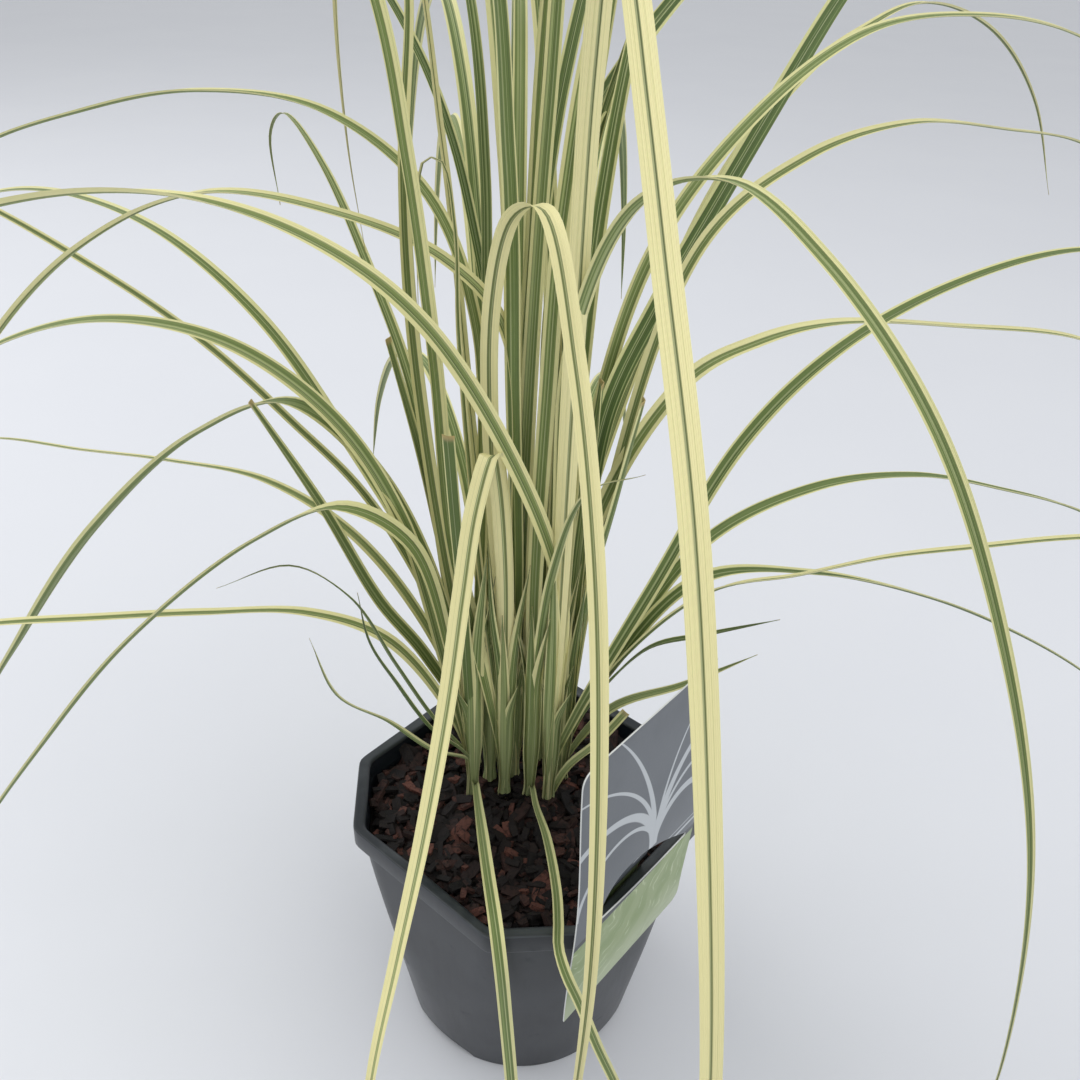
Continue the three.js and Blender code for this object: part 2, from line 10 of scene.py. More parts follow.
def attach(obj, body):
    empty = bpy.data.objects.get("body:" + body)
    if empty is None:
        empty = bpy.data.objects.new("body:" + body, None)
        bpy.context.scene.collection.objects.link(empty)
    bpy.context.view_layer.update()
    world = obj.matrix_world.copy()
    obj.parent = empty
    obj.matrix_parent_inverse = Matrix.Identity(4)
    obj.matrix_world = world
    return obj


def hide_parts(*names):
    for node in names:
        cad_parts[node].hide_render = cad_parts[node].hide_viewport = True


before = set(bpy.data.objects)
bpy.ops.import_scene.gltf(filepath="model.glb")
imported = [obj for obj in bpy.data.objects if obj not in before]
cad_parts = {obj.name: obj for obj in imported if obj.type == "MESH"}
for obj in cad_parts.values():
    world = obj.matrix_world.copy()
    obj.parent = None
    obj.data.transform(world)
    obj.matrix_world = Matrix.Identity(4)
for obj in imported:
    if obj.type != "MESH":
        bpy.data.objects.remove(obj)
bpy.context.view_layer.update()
MM = 0.001

# Camera. Held above and in front of the plant and tipped down, with a slight roll, so that the
# nearest leaves pass close under the lens. Its place is in millimetres in the pot's frame, and its
# focal length in pixels of the picture.
CAMERA_PLACE = (-36, -388, 596)
CAMERA_TIP = math.radians(34)
CAMERA_YAW = math.radians(5.6)
CAMERA_ROLL = math.radians(2.3)
CAMERA_FOCAL = 1000
CAMERA_NEAREST = 0.01
PICTURE_WIDE = 1080
SENSOR = 36

forward = Vector((
    math.sin(CAMERA_YAW) * math.cos(CAMERA_TIP),
    math.cos(CAMERA_YAW) * math.cos(CAMERA_TIP),
    -math.sin(CAMERA_TIP),
))
level = Vector((math.cos(CAMERA_YAW), -math.sin(CAMERA_YAW), 0))
upright = level.cross(forward)
right = level * math.cos(CAMERA_ROLL) + upright * math.sin(CAMERA_ROLL)
up = upright * math.cos(CAMERA_ROLL) - level * math.sin(CAMERA_ROLL)
camera = bpy.data.objects.new("camera", bpy.data.cameras.new("camera"))
camera.data.sensor_width = SENSOR
camera.data.lens = SENSOR * CAMERA_FOCAL / PICTURE_WIDE
camera.data.clip_start = CAMERA_NEAREST
aim = Matrix((right, up, -forward)).transposed().to_4x4()
camera.matrix_world = Matrix.Translation(Vector(CAMERA_PLACE) * MM) @ aim
bpy.context.scene.collection.objects.link(camera)
bpy.context.scene.camera = camera
bpy.context.scene.view_settings.view_transform = "Standard"


# Floor and light. A white table under an overcast sky: light from all round, with a broad soft
# window on the left and behind.
class Wire:
    """One output of a node. Arithmetic on it adds Math nodes, or Vector Math nodes on a vector."""

    def __init__(self, tree, socket):
        self.tree = tree
        self.socket = socket

    def add(self, kind, settings=None, values=None, out=0):
        """Adds a node, with its settings first and then its inputs' values or links, by name,
        identifier or number, and gives one of its outputs."""
        node = self.tree.nodes.new(kind)
        for name, value in (settings or {}).items():
            if name == "stops":
                for place, colour in value:
                    stop = node.color_ramp.elements.new(place)
                    stop.color = (*colour, 1)
                node.color_ramp.elements.remove(node.color_ramp.elements[0])
                node.color_ramp.elements.remove(node.color_ramp.elements[-1])
            else:
                setattr(node, name, value)
        sockets = {s.name: s for s in reversed(node.inputs)} | {s.identifier: s for s in node.inputs}
        for name, value in (values or {}).items():
            socket = node.inputs[name] if isinstance(name, int) else sockets[name]
            if isinstance(value, Wire):
                self.tree.links.new(value.socket, socket)
            elif socket.type == "RGBA":
                socket.default_value = (*value, 1)
            else:
                socket.default_value = value
        outputs = {s.identifier: s for s in node.outputs}
        return Wire(self.tree, node.outputs[out] if isinstance(out, int) else outputs[out])

    def maths(self, operation, *others):
        """One operation on this and the others, on vectors where any of them is one."""
        values = [self, *others]
        vectors = [v for v in values if is_vector(v)]
        numbers = [v for v in values if not is_vector(v)]
        if not vectors:
            return self.add("ShaderNodeMath", {"operation": operation}, dict(enumerate(values)))
        if operation == "MULTIPLY" and numbers:
            scaled = {0: vectors[0], "Scale": numbers[0]}
            return self.add("ShaderNodeVectorMath", {"operation": "SCALE"}, scaled)
        return self.add("ShaderNodeVectorMath", {"operation": operation}, dict(enumerate(values)))

    def __add__(self, other):
        return self.maths("ADD", other)

    __radd__ = __add__

    def __sub__(self, other):
        return self.maths("SUBTRACT", other)

    def __rsub__(self, other):
        return (self * -1) + other

    def __mul__(self, other):
        return self.maths("MULTIPLY", other)

    __rmul__ = __mul__

    def __truediv__(self, other):
        return self.maths("DIVIDE", other)

    def __pow__(self, other):
        return self.maths("POWER", other)

    def __abs__(self):
        return self.maths("ABSOLUTE")

    def step(self, low, high):
        """A smooth change from 0 at low to 1 at high, whichever of the two is the greater."""
        values = {0: self, 1: low, 2: high} if low < high else {0: self, 1: high, 2: low, 3: 1.0, 4: 0.0}
        return self.add("ShaderNodeMapRange", {"interpolation_type": "SMOOTHSTEP"}, values)

    def mix(self, other, share):
        """This colour, going over to the other by share."""
        blend = {"Factor_Float": share, "A_Color": self, "B_Color": other}
        return self.add("ShaderNodeMix", {"data_type": "RGBA"}, blend, "Result_Color")

    def parts(self):
        """The three numbers of a vector."""
        first = self.add("ShaderNodeSeparateXYZ", {}, {0: self})
        return [Wire(self.tree, s) for s in first.socket.node.outputs]


def is_vector(value):
    """Whether a Wire or a plain value carries three numbers."""
    if isinstance(value, Wire):
        return value.socket.type in ("VECTOR", "RGBA")
    return isinstance(value, tuple)


def linear(red, green, blue):
    """A colour as a screen shows it, 0 to 255, as light."""
    return tuple(((c / 255 + 0.055) / 1.055) ** 2.4 for c in (red, green, blue))


def new_material(name):
    """A material with one glossy shader, and a Wire to start its pattern from."""
    material = bpy.data.materials.new(name)
    material.use_nodes = True
    shader = material.node_tree.nodes["Principled BSDF"]
    start = Wire(material.node_tree, material.node_tree.nodes.new("ShaderNodeTexCoord").outputs["Object"])
    return material, shader, start


def link(wire, shader, name):
    """Feeds one of the shader's sockets."""
    wire.tree.links.new(wire.socket, shader.inputs[name])


def textured(where, scale, detail=3.0, roughness=0.55):
    """Smooth noise from 0 to 1 at scale spots a metre."""
    values = {"Vector": where, "Scale": scale, "Detail": detail, "Roughness": roughness}
    return where.add("ShaderNodeTexNoise", {}, values)


def colour(where, value):
    """One colour as the start of a mix."""
    plain = {"Factor_Float": 0.0, "A_Color": value, "B_Color": value}
    return where.add("ShaderNodeMix", {"data_type": "RGBA"}, plain, "Result_Color")


def bump(height, shader, depth):
    """Relief of that depth in metres, under the shader's normal."""
    values = {"Height": height, "Distance": depth, "Strength": 1.0}
    link(height.add("ShaderNodeBump", {}, values, "Normal"), shader, "Normal")


def place_object(name, mesh, body=None):
    """Puts a mesh, curve or lamp in the scene, on a body of the part if one is named."""
    thing = bpy.data.objects.new(name, mesh)
    bpy.context.scene.collection.objects.link(thing)
    if body:
        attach(thing, body)
    return thing


FLOOR_HALF = 9
TABLE_WHITE = linear(226, 228, 233)
TABLE_CLOUD = linear(221, 223, 229)
TABLE_ROUGHNESS = 0.55
SKY_COLOUR = (0.97, 0.985, 1, 1)
SKY_STRENGTH = 0.68
# Each lamp's place and size in metres, and its power in watts. Both look at the clump's foot.
LAMPS = {"window": ((-1.7, 0.9, 2.2), 2.2, 30), "ceiling": ((1.2, -1.0, 2.6), 2.4, 22)}
LIT_SPOT = Vector((0, 0, 0.2))

table = bpy.data.meshes.new("table_top")
corners = [(x * FLOOR_HALF, y * FLOOR_HALF, 0) for x, y in ((-1, -1), (1, -1), (1, 1), (-1, 1))]
table.from_pydata(corners, [], [(0, 1, 2, 3)])
material, shader, where = new_material("white_table")
link(colour(where, TABLE_WHITE).mix(TABLE_CLOUD, textured(where, 3)), shader, "Base Color")
shader.inputs["Roughness"].default_value = TABLE_ROUGHNESS
table.materials.append(material)
place_object("table_top", table)

world = bpy.data.worlds.new("overcast")
world.use_nodes = True
world.node_tree.nodes["Background"].inputs["Color"].default_value = SKY_COLOUR
world.node_tree.nodes["Background"].inputs["Strength"].default_value = SKY_STRENGTH
bpy.context.scene.world = world
for name, (place, size, power) in LAMPS.items():
    lamp = bpy.data.lights.new(name, "AREA")
    lamp.size = size
    lamp.energy = power
    source = place_object(name, lamp)
    source.location = place
    source.rotation_euler = (LIT_SPOT - source.location).to_track_quat("-Z", "Y").to_euler()


# Pot. A slate grey nursery pot of thin moulded plastic. Its body is a plain cone that turns into
# eight flat faces higher up, under a rim that is a square with cut corners and a turned-down skirt.
POT_HEIGHT = 165
BASE_RADIUS = 70
BODY_SPREAD = 0.153
RIM_SHORT_FACE = 95
RIM_LONG_FACE = 85
SHORT_FACE_LEAN = 0.09
LONG_FACE_LEAN = 0.02
RIM_SKIRT = 12.5
RIM_BAND = 5.8
RIM_OVERHANG = 4.6
POT_WALL = 1.5
POT_FLOOR = 3
CORNER_ROUNDNESS = 90
POT_POINTS = 240
SHARP_FROM = 35
# The roundings of the rim's edges, and the heights at which the wall is drawn, up the outside and
# down the inside.
SKIRT_EDGE = 0.4
SKIRT_INSIDE = 0.9
TOP_EDGE = 0.7
INNER_CORNER = {"wide": 0.6, "deep": 0.8}
OUTSIDE_AT = (1, 4, 12, 25, 40, 55, 70, 85, 95, 105, 115, 125, 135, 145, 152, 158, 162)
INSIDE_AT = (161.5, 158, 152, 145, 135, 120, 105, 85, 55, 25, 8, 4)
# The rim's top falls a little towards the inside: how far in from its edge, and how high.
RIM_CROWN = ((2.2, 164.75), (3.4, 164.6), (4.6, 164.5), (RIM_BAND, 164.1), (RIM_BAND + 0.7, 163.2))
FOOT_GAP = {"long": 44, "high": 8, "deep": 12}
DRAIN_HOLE = {"count": 8, "radius": 5, "ring": 42}
POT_GREY = linear(33, 38, 44)
POT_DARK = linear(17, 20, 23)
POT_DUST = linear(98, 104, 108)

round_pot = np.linspace(0, 2 * math.pi, POT_POINTS, endpoint=False)


def nearest_wall(distances):
    """The distance to the nearest of several walls, with the corner between two walls rounded."""
    return sum(np.asarray(d, float) ** -CORNER_ROUNDNESS for d in distances) ** (-1 / CORNER_ROUNDNESS)


def face_distances(angle, short_face, long_face):
    """The eight flat faces of the cut-corner square, as distances along one direction."""
    distances = []
    for k in range(8):
        facing = np.maximum(np.cos(angle - k * math.pi / 4), 0.1)
        distances.append((long_face if k % 2 else short_face) / facing)
    return distances


def rim_radius(angle, inset):
    """The rim's outline, inset millimetres inside its edge."""
    return nearest_wall(face_distances(angle, RIM_SHORT_FACE, RIM_LONG_FACE)) - inset


def body_radius(angle, z, inset):
    """The body's outline at a height: round below, and eight leaning faces towards the rim."""
    below = POT_HEIGHT - RIM_SKIRT - z
    short_face = RIM_SHORT_FACE - RIM_OVERHANG - SHORT_FACE_LEAN * below
    long_face = RIM_LONG_FACE - RIM_OVERHANG - LONG_FACE_LEAN * below
    cone = np.full_like(angle, BASE_RADIUS + BODY_SPREAD * z)
    return nearest_wall([cone, *face_distances(angle, short_face, long_face)]) - inset


def lofted(rings):
    """A closed mesh through rings of (radius, height), each radius an array round the pot."""
    points = []
    faces = []
    count = len(rings[0][0])
    turn = np.linspace(0, 2 * math.pi, count, endpoint=False)
    for radius, z in rings:
        points += np.stack([radius * np.cos(turn), radius * np.sin(turn), np.zeros(count) + z], 1).tolist()
    for row in range(len(rings) - 1):
        for i in range(count):
            a, b = row * count + i, row * count + (i + 1) % count
            faces.append((a, b, b + count, a + count))
    points += [(0, 0, float(np.mean(rings[0][1]))), (0, 0, float(np.mean(rings[-1][1])))]
    last = (len(rings) - 1) * count
    for i in range(count):
        after = (i + 1) % count
        faces.append((len(points) - 2, after, i))
        faces.append((len(points) - 1, last + i, last + after))
    mesh = bpy.data.meshes.new("loft")
    mesh.from_pydata([tuple(c * MM for c in p) for p in points], [], faces)
    return mesh


def smooth_shading(mesh, angle=SHARP_FROM):
    """Smooth over gentle bends and sharp over corners, with all faces outwards."""
    shape = bmesh.new()
    shape.from_mesh(mesh)
    bmesh.ops.recalc_face_normals(shape, faces=shape.faces)
    shape.to_mesh(mesh)
    shape.free()
    mesh.shade_smooth()
    mesh.set_sharp_from_angle(angle=math.radians(angle))


def flat_copy(thing):
    """The thing's shape with its modifiers applied, as a plain mesh."""
    bpy.context.view_layer.update()
    graph = bpy.context.evaluated_depsgraph_get()
    return bpy.data.meshes.new_from_object(thing.evaluated_get(graph))


def cut_by(mesh, cutters):
    """The mesh with the cutters' solids taken away."""
    body = place_object("cut_body", mesh)
    tool = place_object("cut_tool", cutters)
    cut = body.modifiers.new("cut", "BOOLEAN")
    cut.operation = "DIFFERENCE"
    cut.solver = "EXACT"
    cut.object = tool
    result = flat_copy(body)
    bpy.data.objects.remove(body)
    bpy.data.objects.remove(tool)
    return result


def fillet(inset_at, z_at, inset_to, z_to, steps=3):
    """A rounded edge from one (inset, height) to another, that leaves the first one upright."""
    turns = [math.pi / 2 * k / steps for k in range(steps + 1)]
    inward, rise = inset_to - inset_at, z_to - z_at
    return [(inset_at + inward * (1 - math.cos(t)), z_at + rise * math.sin(t)) for t in turns]


def round_bar(shape, radius, depth, sides):
    """Adds an upright round bar about the origin, and gives its points."""
    return bmesh.ops.create_cone(
        shape, cap_ends=True, segments=sides, radius1=radius, radius2=radius, depth=depth
    )["verts"]


skirt_end = POT_HEIGHT - RIM_SKIRT
under_rim = POT_HEIGHT - POT_WALL
pot_rings = [(body_radius(round_pot, 0, 2.5), 0.4), (body_radius(round_pot, 0, 1.0), 0)]
pot_rings += [(body_radius(round_pot, z, 0), z) for z in OUTSIDE_AT]
pot_rings += [(body_radius(round_pot, under_rim, -INNER_CORNER["wide"]), under_rim)]
rim_line = [(POT_WALL + INNER_CORNER["wide"], under_rim), (POT_WALL, under_rim - INNER_CORNER["deep"])]
rim_line += [(POT_WALL, skirt_end + SKIRT_EDGE), (SKIRT_INSIDE, skirt_end)]
rim_line += fillet(0.0, skirt_end + SKIRT_EDGE, SKIRT_EDGE, skirt_end)[::-1]
rim_line += fillet(0.0, POT_HEIGHT - TOP_EDGE, TOP_EDGE, POT_HEIGHT)
rim_line += RIM_CROWN
pot_rings += [(rim_radius(round_pot, inset), z) for inset, z in rim_line]
pot_rings += [(body_radius(round_pot, z, POT_WALL), z) for z in INSIDE_AT]
pot_rings += [(body_radius(round_pot, POT_FLOOR, POT_WALL + 1), POT_FLOOR)]
pot_mesh = lofted(pot_rings)

cutters = bmesh.new()
for k in range(4):
    gap = round_bar(cutters, FOOT_GAP["long"] / 2, FOOT_GAP["deep"], 32)
    bmesh.ops.rotate(cutters, verts=gap, matrix=Matrix.Rotation(math.pi / 2, 3, "Y"))
    bmesh.ops.scale(cutters, verts=gap, vec=(1, 1, 2 * FOOT_GAP["high"] / FOOT_GAP["long"]))
    bmesh.ops.translate(cutters, verts=gap, vec=(BASE_RADIUS, 0, 0))
    bmesh.ops.rotate(cutters, verts=gap, matrix=Matrix.Rotation(math.pi / 4 + k * math.pi / 2, 3, "Z"))
for k in range(DRAIN_HOLE["count"]):
    turn = (k + 0.5) * 2 * math.pi / DRAIN_HOLE["count"]
    hole = round_bar(cutters, DRAIN_HOLE["radius"], 4 * POT_FLOOR, 24)
    spot = Vector((math.cos(turn), math.sin(turn), 0)) * DRAIN_HOLE["ring"]
    bmesh.ops.translate(cutters, verts=hole, vec=spot)
bmesh.ops.scale(cutters, verts=cutters.verts, vec=(MM, MM, MM))
cutter_mesh = bpy.data.meshes.new("pot_cutters")
cutters.to_mesh(cutter_mesh)
cutters.free()
smooth_shading(cutter_mesh)
smooth_shading(pot_mesh)
pot_mesh = cut_by(pot_mesh, cutter_mesh)
pot_mesh.shade_smooth()
pot_mesh.set_sharp_from_angle(angle=math.radians(SHARP_FROM))

# Smooth plastic with faint clouds, fine upright drag marks from the mould, dusty splashes near the
# foot, and a painted highlight: a light line along the rim's top edge and the skirt's lower edge.
material, shader, where = new_material("slate_plastic")
clouds = textured(where, 26, 4)
drag = textured(where.add("ShaderNodeMapping", {}, {"Vector": where, "Scale": (1, 1, 0.12)}), 260, 2)
specks = textured(where, 900, 2).step(0.69, 0.74)
splash = textured(where, 70, 5).step(0.60, 0.78)
height = where.parts()[2]
plastic = colour(where, POT_GREY).mix(POT_DARK, clouds.step(0.3, 0.75) * 0.45)
plastic = plastic.mix(POT_DUST, specks * splash * 0.5 + splash * height.step(0.05, 0.0) * 0.25)
# Painted highlight: thin bands at the skirt's lower edge and the rim's top edge, lightened towards the dust
# colour, stand in for light on those rounded edges.
skirt_edge_highlight = abs(height * 1000 - skirt_end).step(0.9, 0.2)
painted_rim_highlight = skirt_edge_highlight + abs(height * 1000 - (POT_HEIGHT - 0.4)).step(0.7, 0.1)
link(plastic.mix(POT_DUST, painted_rim_highlight * clouds.step(0.35, 0.6) * 0.35), shader, "Base Color")
link(clouds * 0.12 + drag * 0.06 + splash * 0.12 + 0.24, shader, "Roughness")
bump(drag * 0.5 + textured(where, 1500, 2) * 0.5, shader, 0.00006)
pot_mesh.materials.clear()
pot_mesh.materials.append(material)
pot = place_object("nursery_pot", pot_mesh, "root")
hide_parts("pot")


# Soil. Dark, fibrous peat that fills the pot to a finger's width under the rim. It is uneven on
# top and banks up towards the back, and its sides lie against the wall.
SOIL_TOP = 147
SOIL_ROUGH = 2.2
SOIL_GAP = 0.5
SOIL_POINTS = 120
SOIL_RINGS_AT = (6, 30, 60, 90, 120, 140)
SOIL_LUMPS = 0.11
BANK_HIGH = 12
BANK_FROM = 15
BANK_TO = 85
PEAT = linear(20, 15, 13)
PEAT_GRAIN = linear(52, 38, 30)
PEAT_FIBRE = linear(12, 9, 8)


def bank_at(y):
    """How much higher the soil and bark lie towards the back of the pot."""
    share = np.clip((y - BANK_FROM) / (BANK_TO - BANK_FROM), 0, 1)
    return BANK_HIGH * share * share * (3 - 2 * share)


round_soil = np.linspace(0, 2 * math.pi, SOIL_POINTS, endpoint=False)
soil_rings = [(body_radius(round_soil, POT_FLOOR, POT_WALL + 2 * SOIL_GAP), POT_FLOOR + SOIL_GAP)]
soil_rings += [(body_radius(round_soil, z, POT_WALL + SOIL_GAP), z) for z in SOIL_RINGS_AT]
for share in np.linspace(1, 0.03, 34):
    radius = body_radius(round_soil, SOIL_TOP, POT_WALL + SOIL_GAP) * share
    spots = [Vector((r * math.cos(t), r * math.sin(t), 0)) for r, t in zip(radius, round_soil)]
    lumps = np.array([noise.fractal(spot * SOIL_LUMPS, 0.7, 2.2, 4) for spot in spots])
    soil_rings.append((radius, SOIL_TOP + bank_at(radius * np.sin(round_soil)) + SOIL_ROUGH * lumps - 0.8))
soil_mesh = lofted(soil_rings)
smooth_shading(soil_mesh, 60)
material, shader, where = new_material("peat")
grain = textured(where, 900, 5, 0.7)
fibre = textured(where, 260, 4, 0.7)
peat = colour(where, PEAT).mix(PEAT_GRAIN, grain.step(0.45, 0.8))
link(peat.mix(PEAT_FIBRE, fibre.step(0.45, 0.7)), shader, "Base Color")
shader.inputs["Roughness"].default_value = 0.95
shader.inputs["Specular IOR Level"].default_value = 0.2
bump(grain + fibre, shader, 0.0012)
soil_mesh.materials.append(material)
soil = place_object("peat_soil", soil_mesh, "root")
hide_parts("soil")


# Bark. Short, split chips of dark red-brown pine bark strewn two or three deep over the peat, with
# crumbs of peat between them. Like the peat, the bed lies higher at the back.
CHIP_INSET, CHIP_LIFT = 6.5, 2.4
CRUMB_INSET, CRUMB_LIFT = 4.5, 1.2
FACETS_FROM = 12
# Their number, sizes in millimetres, how far they may tip in radians, and the seed of the draw.
CHIPS = {"Count": 1500, "Long": 12, "Wide": 4.8, "Thick": 2.0, "Pile": 5.0, "Tip": 0.55, "Seed": 23}
CRUMBS = {"Count": 3000, "Long": 2.6, "Wide": 1.8, "Thick": 1.4, "Pile": 4.0, "Tip": 1.2, "Seed": 73}
LENGTHS = ("Long", "Wide", "Thick", "Pile")
BARK_TONES = [
    (0.0, linear(9, 7, 7)),
    (0.5, linear(24, 16, 15)),
    (0.8, linear(56, 34, 29)),
    (0.97, linear(98, 60, 50)),
]
BARK_GRAIN = linear(17, 13, 12)
BARK_FLECK = linear(128, 90, 74)


def grow(name, base, tree, values, material):
    """Runs a node tree on a base mesh and gives its result as a plain mesh with that material."""
    seedbed = place_object(name + "_base", base)
    run = seedbed.modifiers.new("grow", "NODES")
    run.node_group = tree
    sockets = {s.name: s.identifier for s in tree.interface.items_tree if s.in_out == "INPUT"}
    for label, value in {**values, "Material": material}.items():
        run[sockets[label]] = value
    result = flat_copy(seedbed)
    bpy.data.objects.remove(seedbed)
    result.name = name
    return result


def new_tree(name, **inputs):
    """A geometry tree with named inputs of each kind, and a Wire for each of them."""
    tree = bpy.data.node_groups.new(name, "GeometryNodeTree")
    tree.interface.new_socket("Geometry", in_out="INPUT", socket_type="NodeSocketGeometry")
    tree.interface.new_socket("Geometry", in_out="OUTPUT", socket_type="NodeSocketGeometry")
    for kind, labels in inputs.items():
        for label in labels.split():
            tree.interface.new_socket(label, in_out="INPUT", socket_type="NodeSocket" + kind)
    start = tree.nodes.new("NodeGroupInput")
    return tree, {s.name: Wire(tree, s) for s in start.outputs if s.name}


def end_tree(tree, grown, material):
    """The tree's end: whatever is instanced is made real, and gets its material."""
    real = grown.add("GeometryNodeRealizeInstances", {}, {"Geometry": grown})
    dressed = real.add("GeometryNodeSetMaterial", {}, {"Geometry": real, "Material": material})
    tree.links.new(dressed.socket, tree.nodes.new("NodeGroupOutput").inputs[0])


def strew_tree():
    """Chips strewn over a surface: each a split sliver, tipped, lifted and turned its own way."""
    tree, given = new_tree(
        "strewn_chips", Int="Count Seed", Float="Long Wide Thick Pile Tip", Material="Material"
    )
    bed = given["Geometry"]
    area = bed.add("GeometryNodeAttributeStatistic", {"domain": "FACE"}, {
        "Geometry": bed, "Attribute": bed.add("GeometryNodeInputMeshFaceArea"),
    }, "Sum")
    spots = bed.add("GeometryNodeDistributePointsOnFaces", {}, {
        "Mesh": bed, "Density": given["Count"] / area, "Seed": given["Seed"],
    })

    def chance(low, high, offset):
        limits = {"Min_001": low, "Max_001": high, "Seed": given["Seed"] + offset}
        return bed.add("FunctionNodeRandomValue", {}, limits, "Value_001")

    lift = bed.add("ShaderNodeCombineXYZ", {}, {"Z": chance(-0.25, 1.0, 1) * given["Pile"]})
    spots = spots.add("GeometryNodeSetPosition", {}, {"Geometry": spots, "Offset": lift})
    brick = bed.add("GeometryNodeMeshCube", {}, {
        "Size": (1, 1, 1), "Vertices X": 5, "Vertices Y": 3, "Vertices Z": 2,
    })
    place = bed.add("GeometryNodeInputPosition")
    along, _, _ = place.parts()
    taper = 1 - (along * along) * 0.9
    slim = bed.add("ShaderNodeCombineXYZ", {}, {"X": 1.0, "Y": taper, "Z": taper})
    sliver = brick.add("GeometryNodeSetPosition", {}, {"Geometry": brick, "Position": place * slim})
    size = bed.add("ShaderNodeCombineXYZ", {}, {
        "X": given["Long"] * chance(0.45, 1.35, 2),
        "Y": given["Wide"] * chance(0.5, 1.4, 3),
        "Z": given["Thick"] * chance(0.5, 1.5, 4),
    })
    tip = given["Tip"]
    turn = bed.add("ShaderNodeCombineXYZ", {}, {
        "X": chance(-1.0, 1.0, 5) * tip, "Y": chance(-1.0, 1.0, 6) * tip, "Z": chance(0.0, 6.283, 7),
    })
    chips = spots.add("GeometryNodeInstanceOnPoints", {}, {
        "Points": spots, "Instance": sliver, "Rotation": turn, "Scale": size,
    })
    marked = chips.add("GeometryNodeStoreNamedAttribute", {"data_type": "FLOAT", "domain": "INSTANCE"}, {
        "Geometry": chips, "Name": "tone", "Value": chance(0.0, 1.0, 8),
    })
    loose = marked.add("GeometryNodeRealizeInstances", {}, {"Geometry": marked})
    ragged = bed.add("ShaderNodeTexNoise", {}, {"Scale": 230.0, "Detail": 2.0}, "Color") - (0.5, 0.5, 0.5)
    offset = ragged * (given["Thick"] * 0.9)
    split = loose.add("GeometryNodeSetPosition", {}, {"Geometry": loose, "Offset": offset})
    end_tree(tree, split, given["Material"])
    return tree


def disc_mesh(inset, z, rings=10):
    """A disc inside the pot's wall, as the bed that chips are strewn on."""
    points = [(0, 0, z)]
    for share in np.linspace(0, 1, rings + 1)[1:]:
        radius = body_radius(round_soil, SOIL_TOP, inset) * share
        ring = [(r * math.cos(t), r * math.sin(t)) for r, t in zip(radius, round_soil)]
        points += [(x, y, z + bank_at(y)) for x, y in ring]
    faces = [(0, 1 + i, 1 + (i + 1) % SOIL_POINTS) for i in range(SOIL_POINTS)]
    for row in range(rings - 1):
        for i in range(SOIL_POINTS):
            a, b = 1 + row * SOIL_POINTS + i, 1 + row * SOIL_POINTS + (i + 1) % SOIL_POINTS
            faces.append((a, a + SOIL_POINTS, b + SOIL_POINTS, b))
    mesh = bpy.data.meshes.new("bed")
    mesh.from_pydata([tuple(c * MM for c in p) for p in points], [], faces)
    return mesh


material, shader, where = new_material("pine_bark")
tone = where.add("ShaderNodeAttribute", {"attribute_name": "tone"}, {}, "Fac")
grain = textured(where, 420, 4, 0.7)
fleck = textured(where, 1600, 3, 0.6)
bark = where.add("ShaderNodeValToRGB", {"stops": BARK_TONES}, {"Fac": tone}, "Color")
bark = bark.mix(BARK_GRAIN, grain.step(0.42, 0.68) * 0.8).mix(BARK_FLECK, fleck.step(0.64, 0.8) * 0.3)
link(bark, shader, "Base Color")
link(grain * 0.25 + 0.62, shader, "Roughness")
shader.inputs["Specular IOR Level"].default_value = 0.35
bump(grain + fleck * 0.5, shader, 0.0006)

strew = strew_tree()
for name, kind, stuff, slot, inset, lift in (
    ("bark_chips", CHIPS, material, "bark", CHIP_INSET, CHIP_LIFT),
    ("peat_crumbs", CRUMBS, bpy.data.materials["peat"], "soil", CRUMB_INSET, CRUMB_LIFT),
):
    values = {label: value * MM if label in LENGTHS else value for label, value in kind.items()}
    mesh = grow(name, disc_mesh(inset, SOIL_TOP + lift), strew, values, stuff)
    smooth_shading(mesh, FACETS_FROM)
    piece = place_object(name, mesh, "root")
    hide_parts("bark_mulch")


# Plant label. A printed card, grey above and green below, that stands on the right front face. A
# lens-shaped slit in it hooks over the rim, and the tongue cut free by the slit tucks inside.
CARD = {"left": -67, "right": 34, "bottom": -53, "top": 124, "corner": 8, "thick": 0.7}
SLIT = {"left": -48, "right": 27, "left_up": 12, "right_up": 7}
SLIT_PEAK = (-32, 52)
SLIT_SAG = 6
SLIT_MOUTH = 10
CARD_BACK = RIM_LONG_FACE + 0.3
CARD_ROW = 6
CARD_BOW = 3
CARD_EDGE = 0.08
# The tongue seen from its side, down from the card and on down inside the rim: how far out from
# the card's back, or from the rim's inner edge, and how far above the rim.
TONGUE = {"left": -36, "right": 2, "across": 8, "thick": 0.5, "lean": 0.25}
TONGUE_FROM_CARD = ((0.4, 47), (-0.6, 34), (-2.0, 20), (-4.6, 8), (-7.4, 1.4))
TONGUE_FROM_RIM = ((-2.6, -4), (-3.0, -9))
CARD_GREY = linear(98, 103, 109)
CARD_GREY_DEEP = linear(84, 89, 95)
CARD_STROKE = linear(190, 195, 199)
CARD_RULE = linear(52, 56, 61)
CARD_GREEN = linear(146, 163, 112)
CARD_GREEN_DEEP = linear(122, 145, 84)
CARD_LEAF = linear(190, 202, 163)
CARD_FOOT = linear(186, 196, 166)
CARD_PLAIN = linear(214, 216, 214)
# The printed fan of leaves springs from one place. Each leaf is part of a circle: its radius in
# millimetres, its side, and how wide its stroke is.
FAN_ROOT = (-8.0, 30.0)
FAN = (
    (24, 1, 2.6), (38, 1, 1.5), (60, 1, 3.2), (105, 1, 1.3),
    (30, -1, 1.4), (46, -1, 3.0), (78, -1, 1.6), (150, -1, 2.2),
)

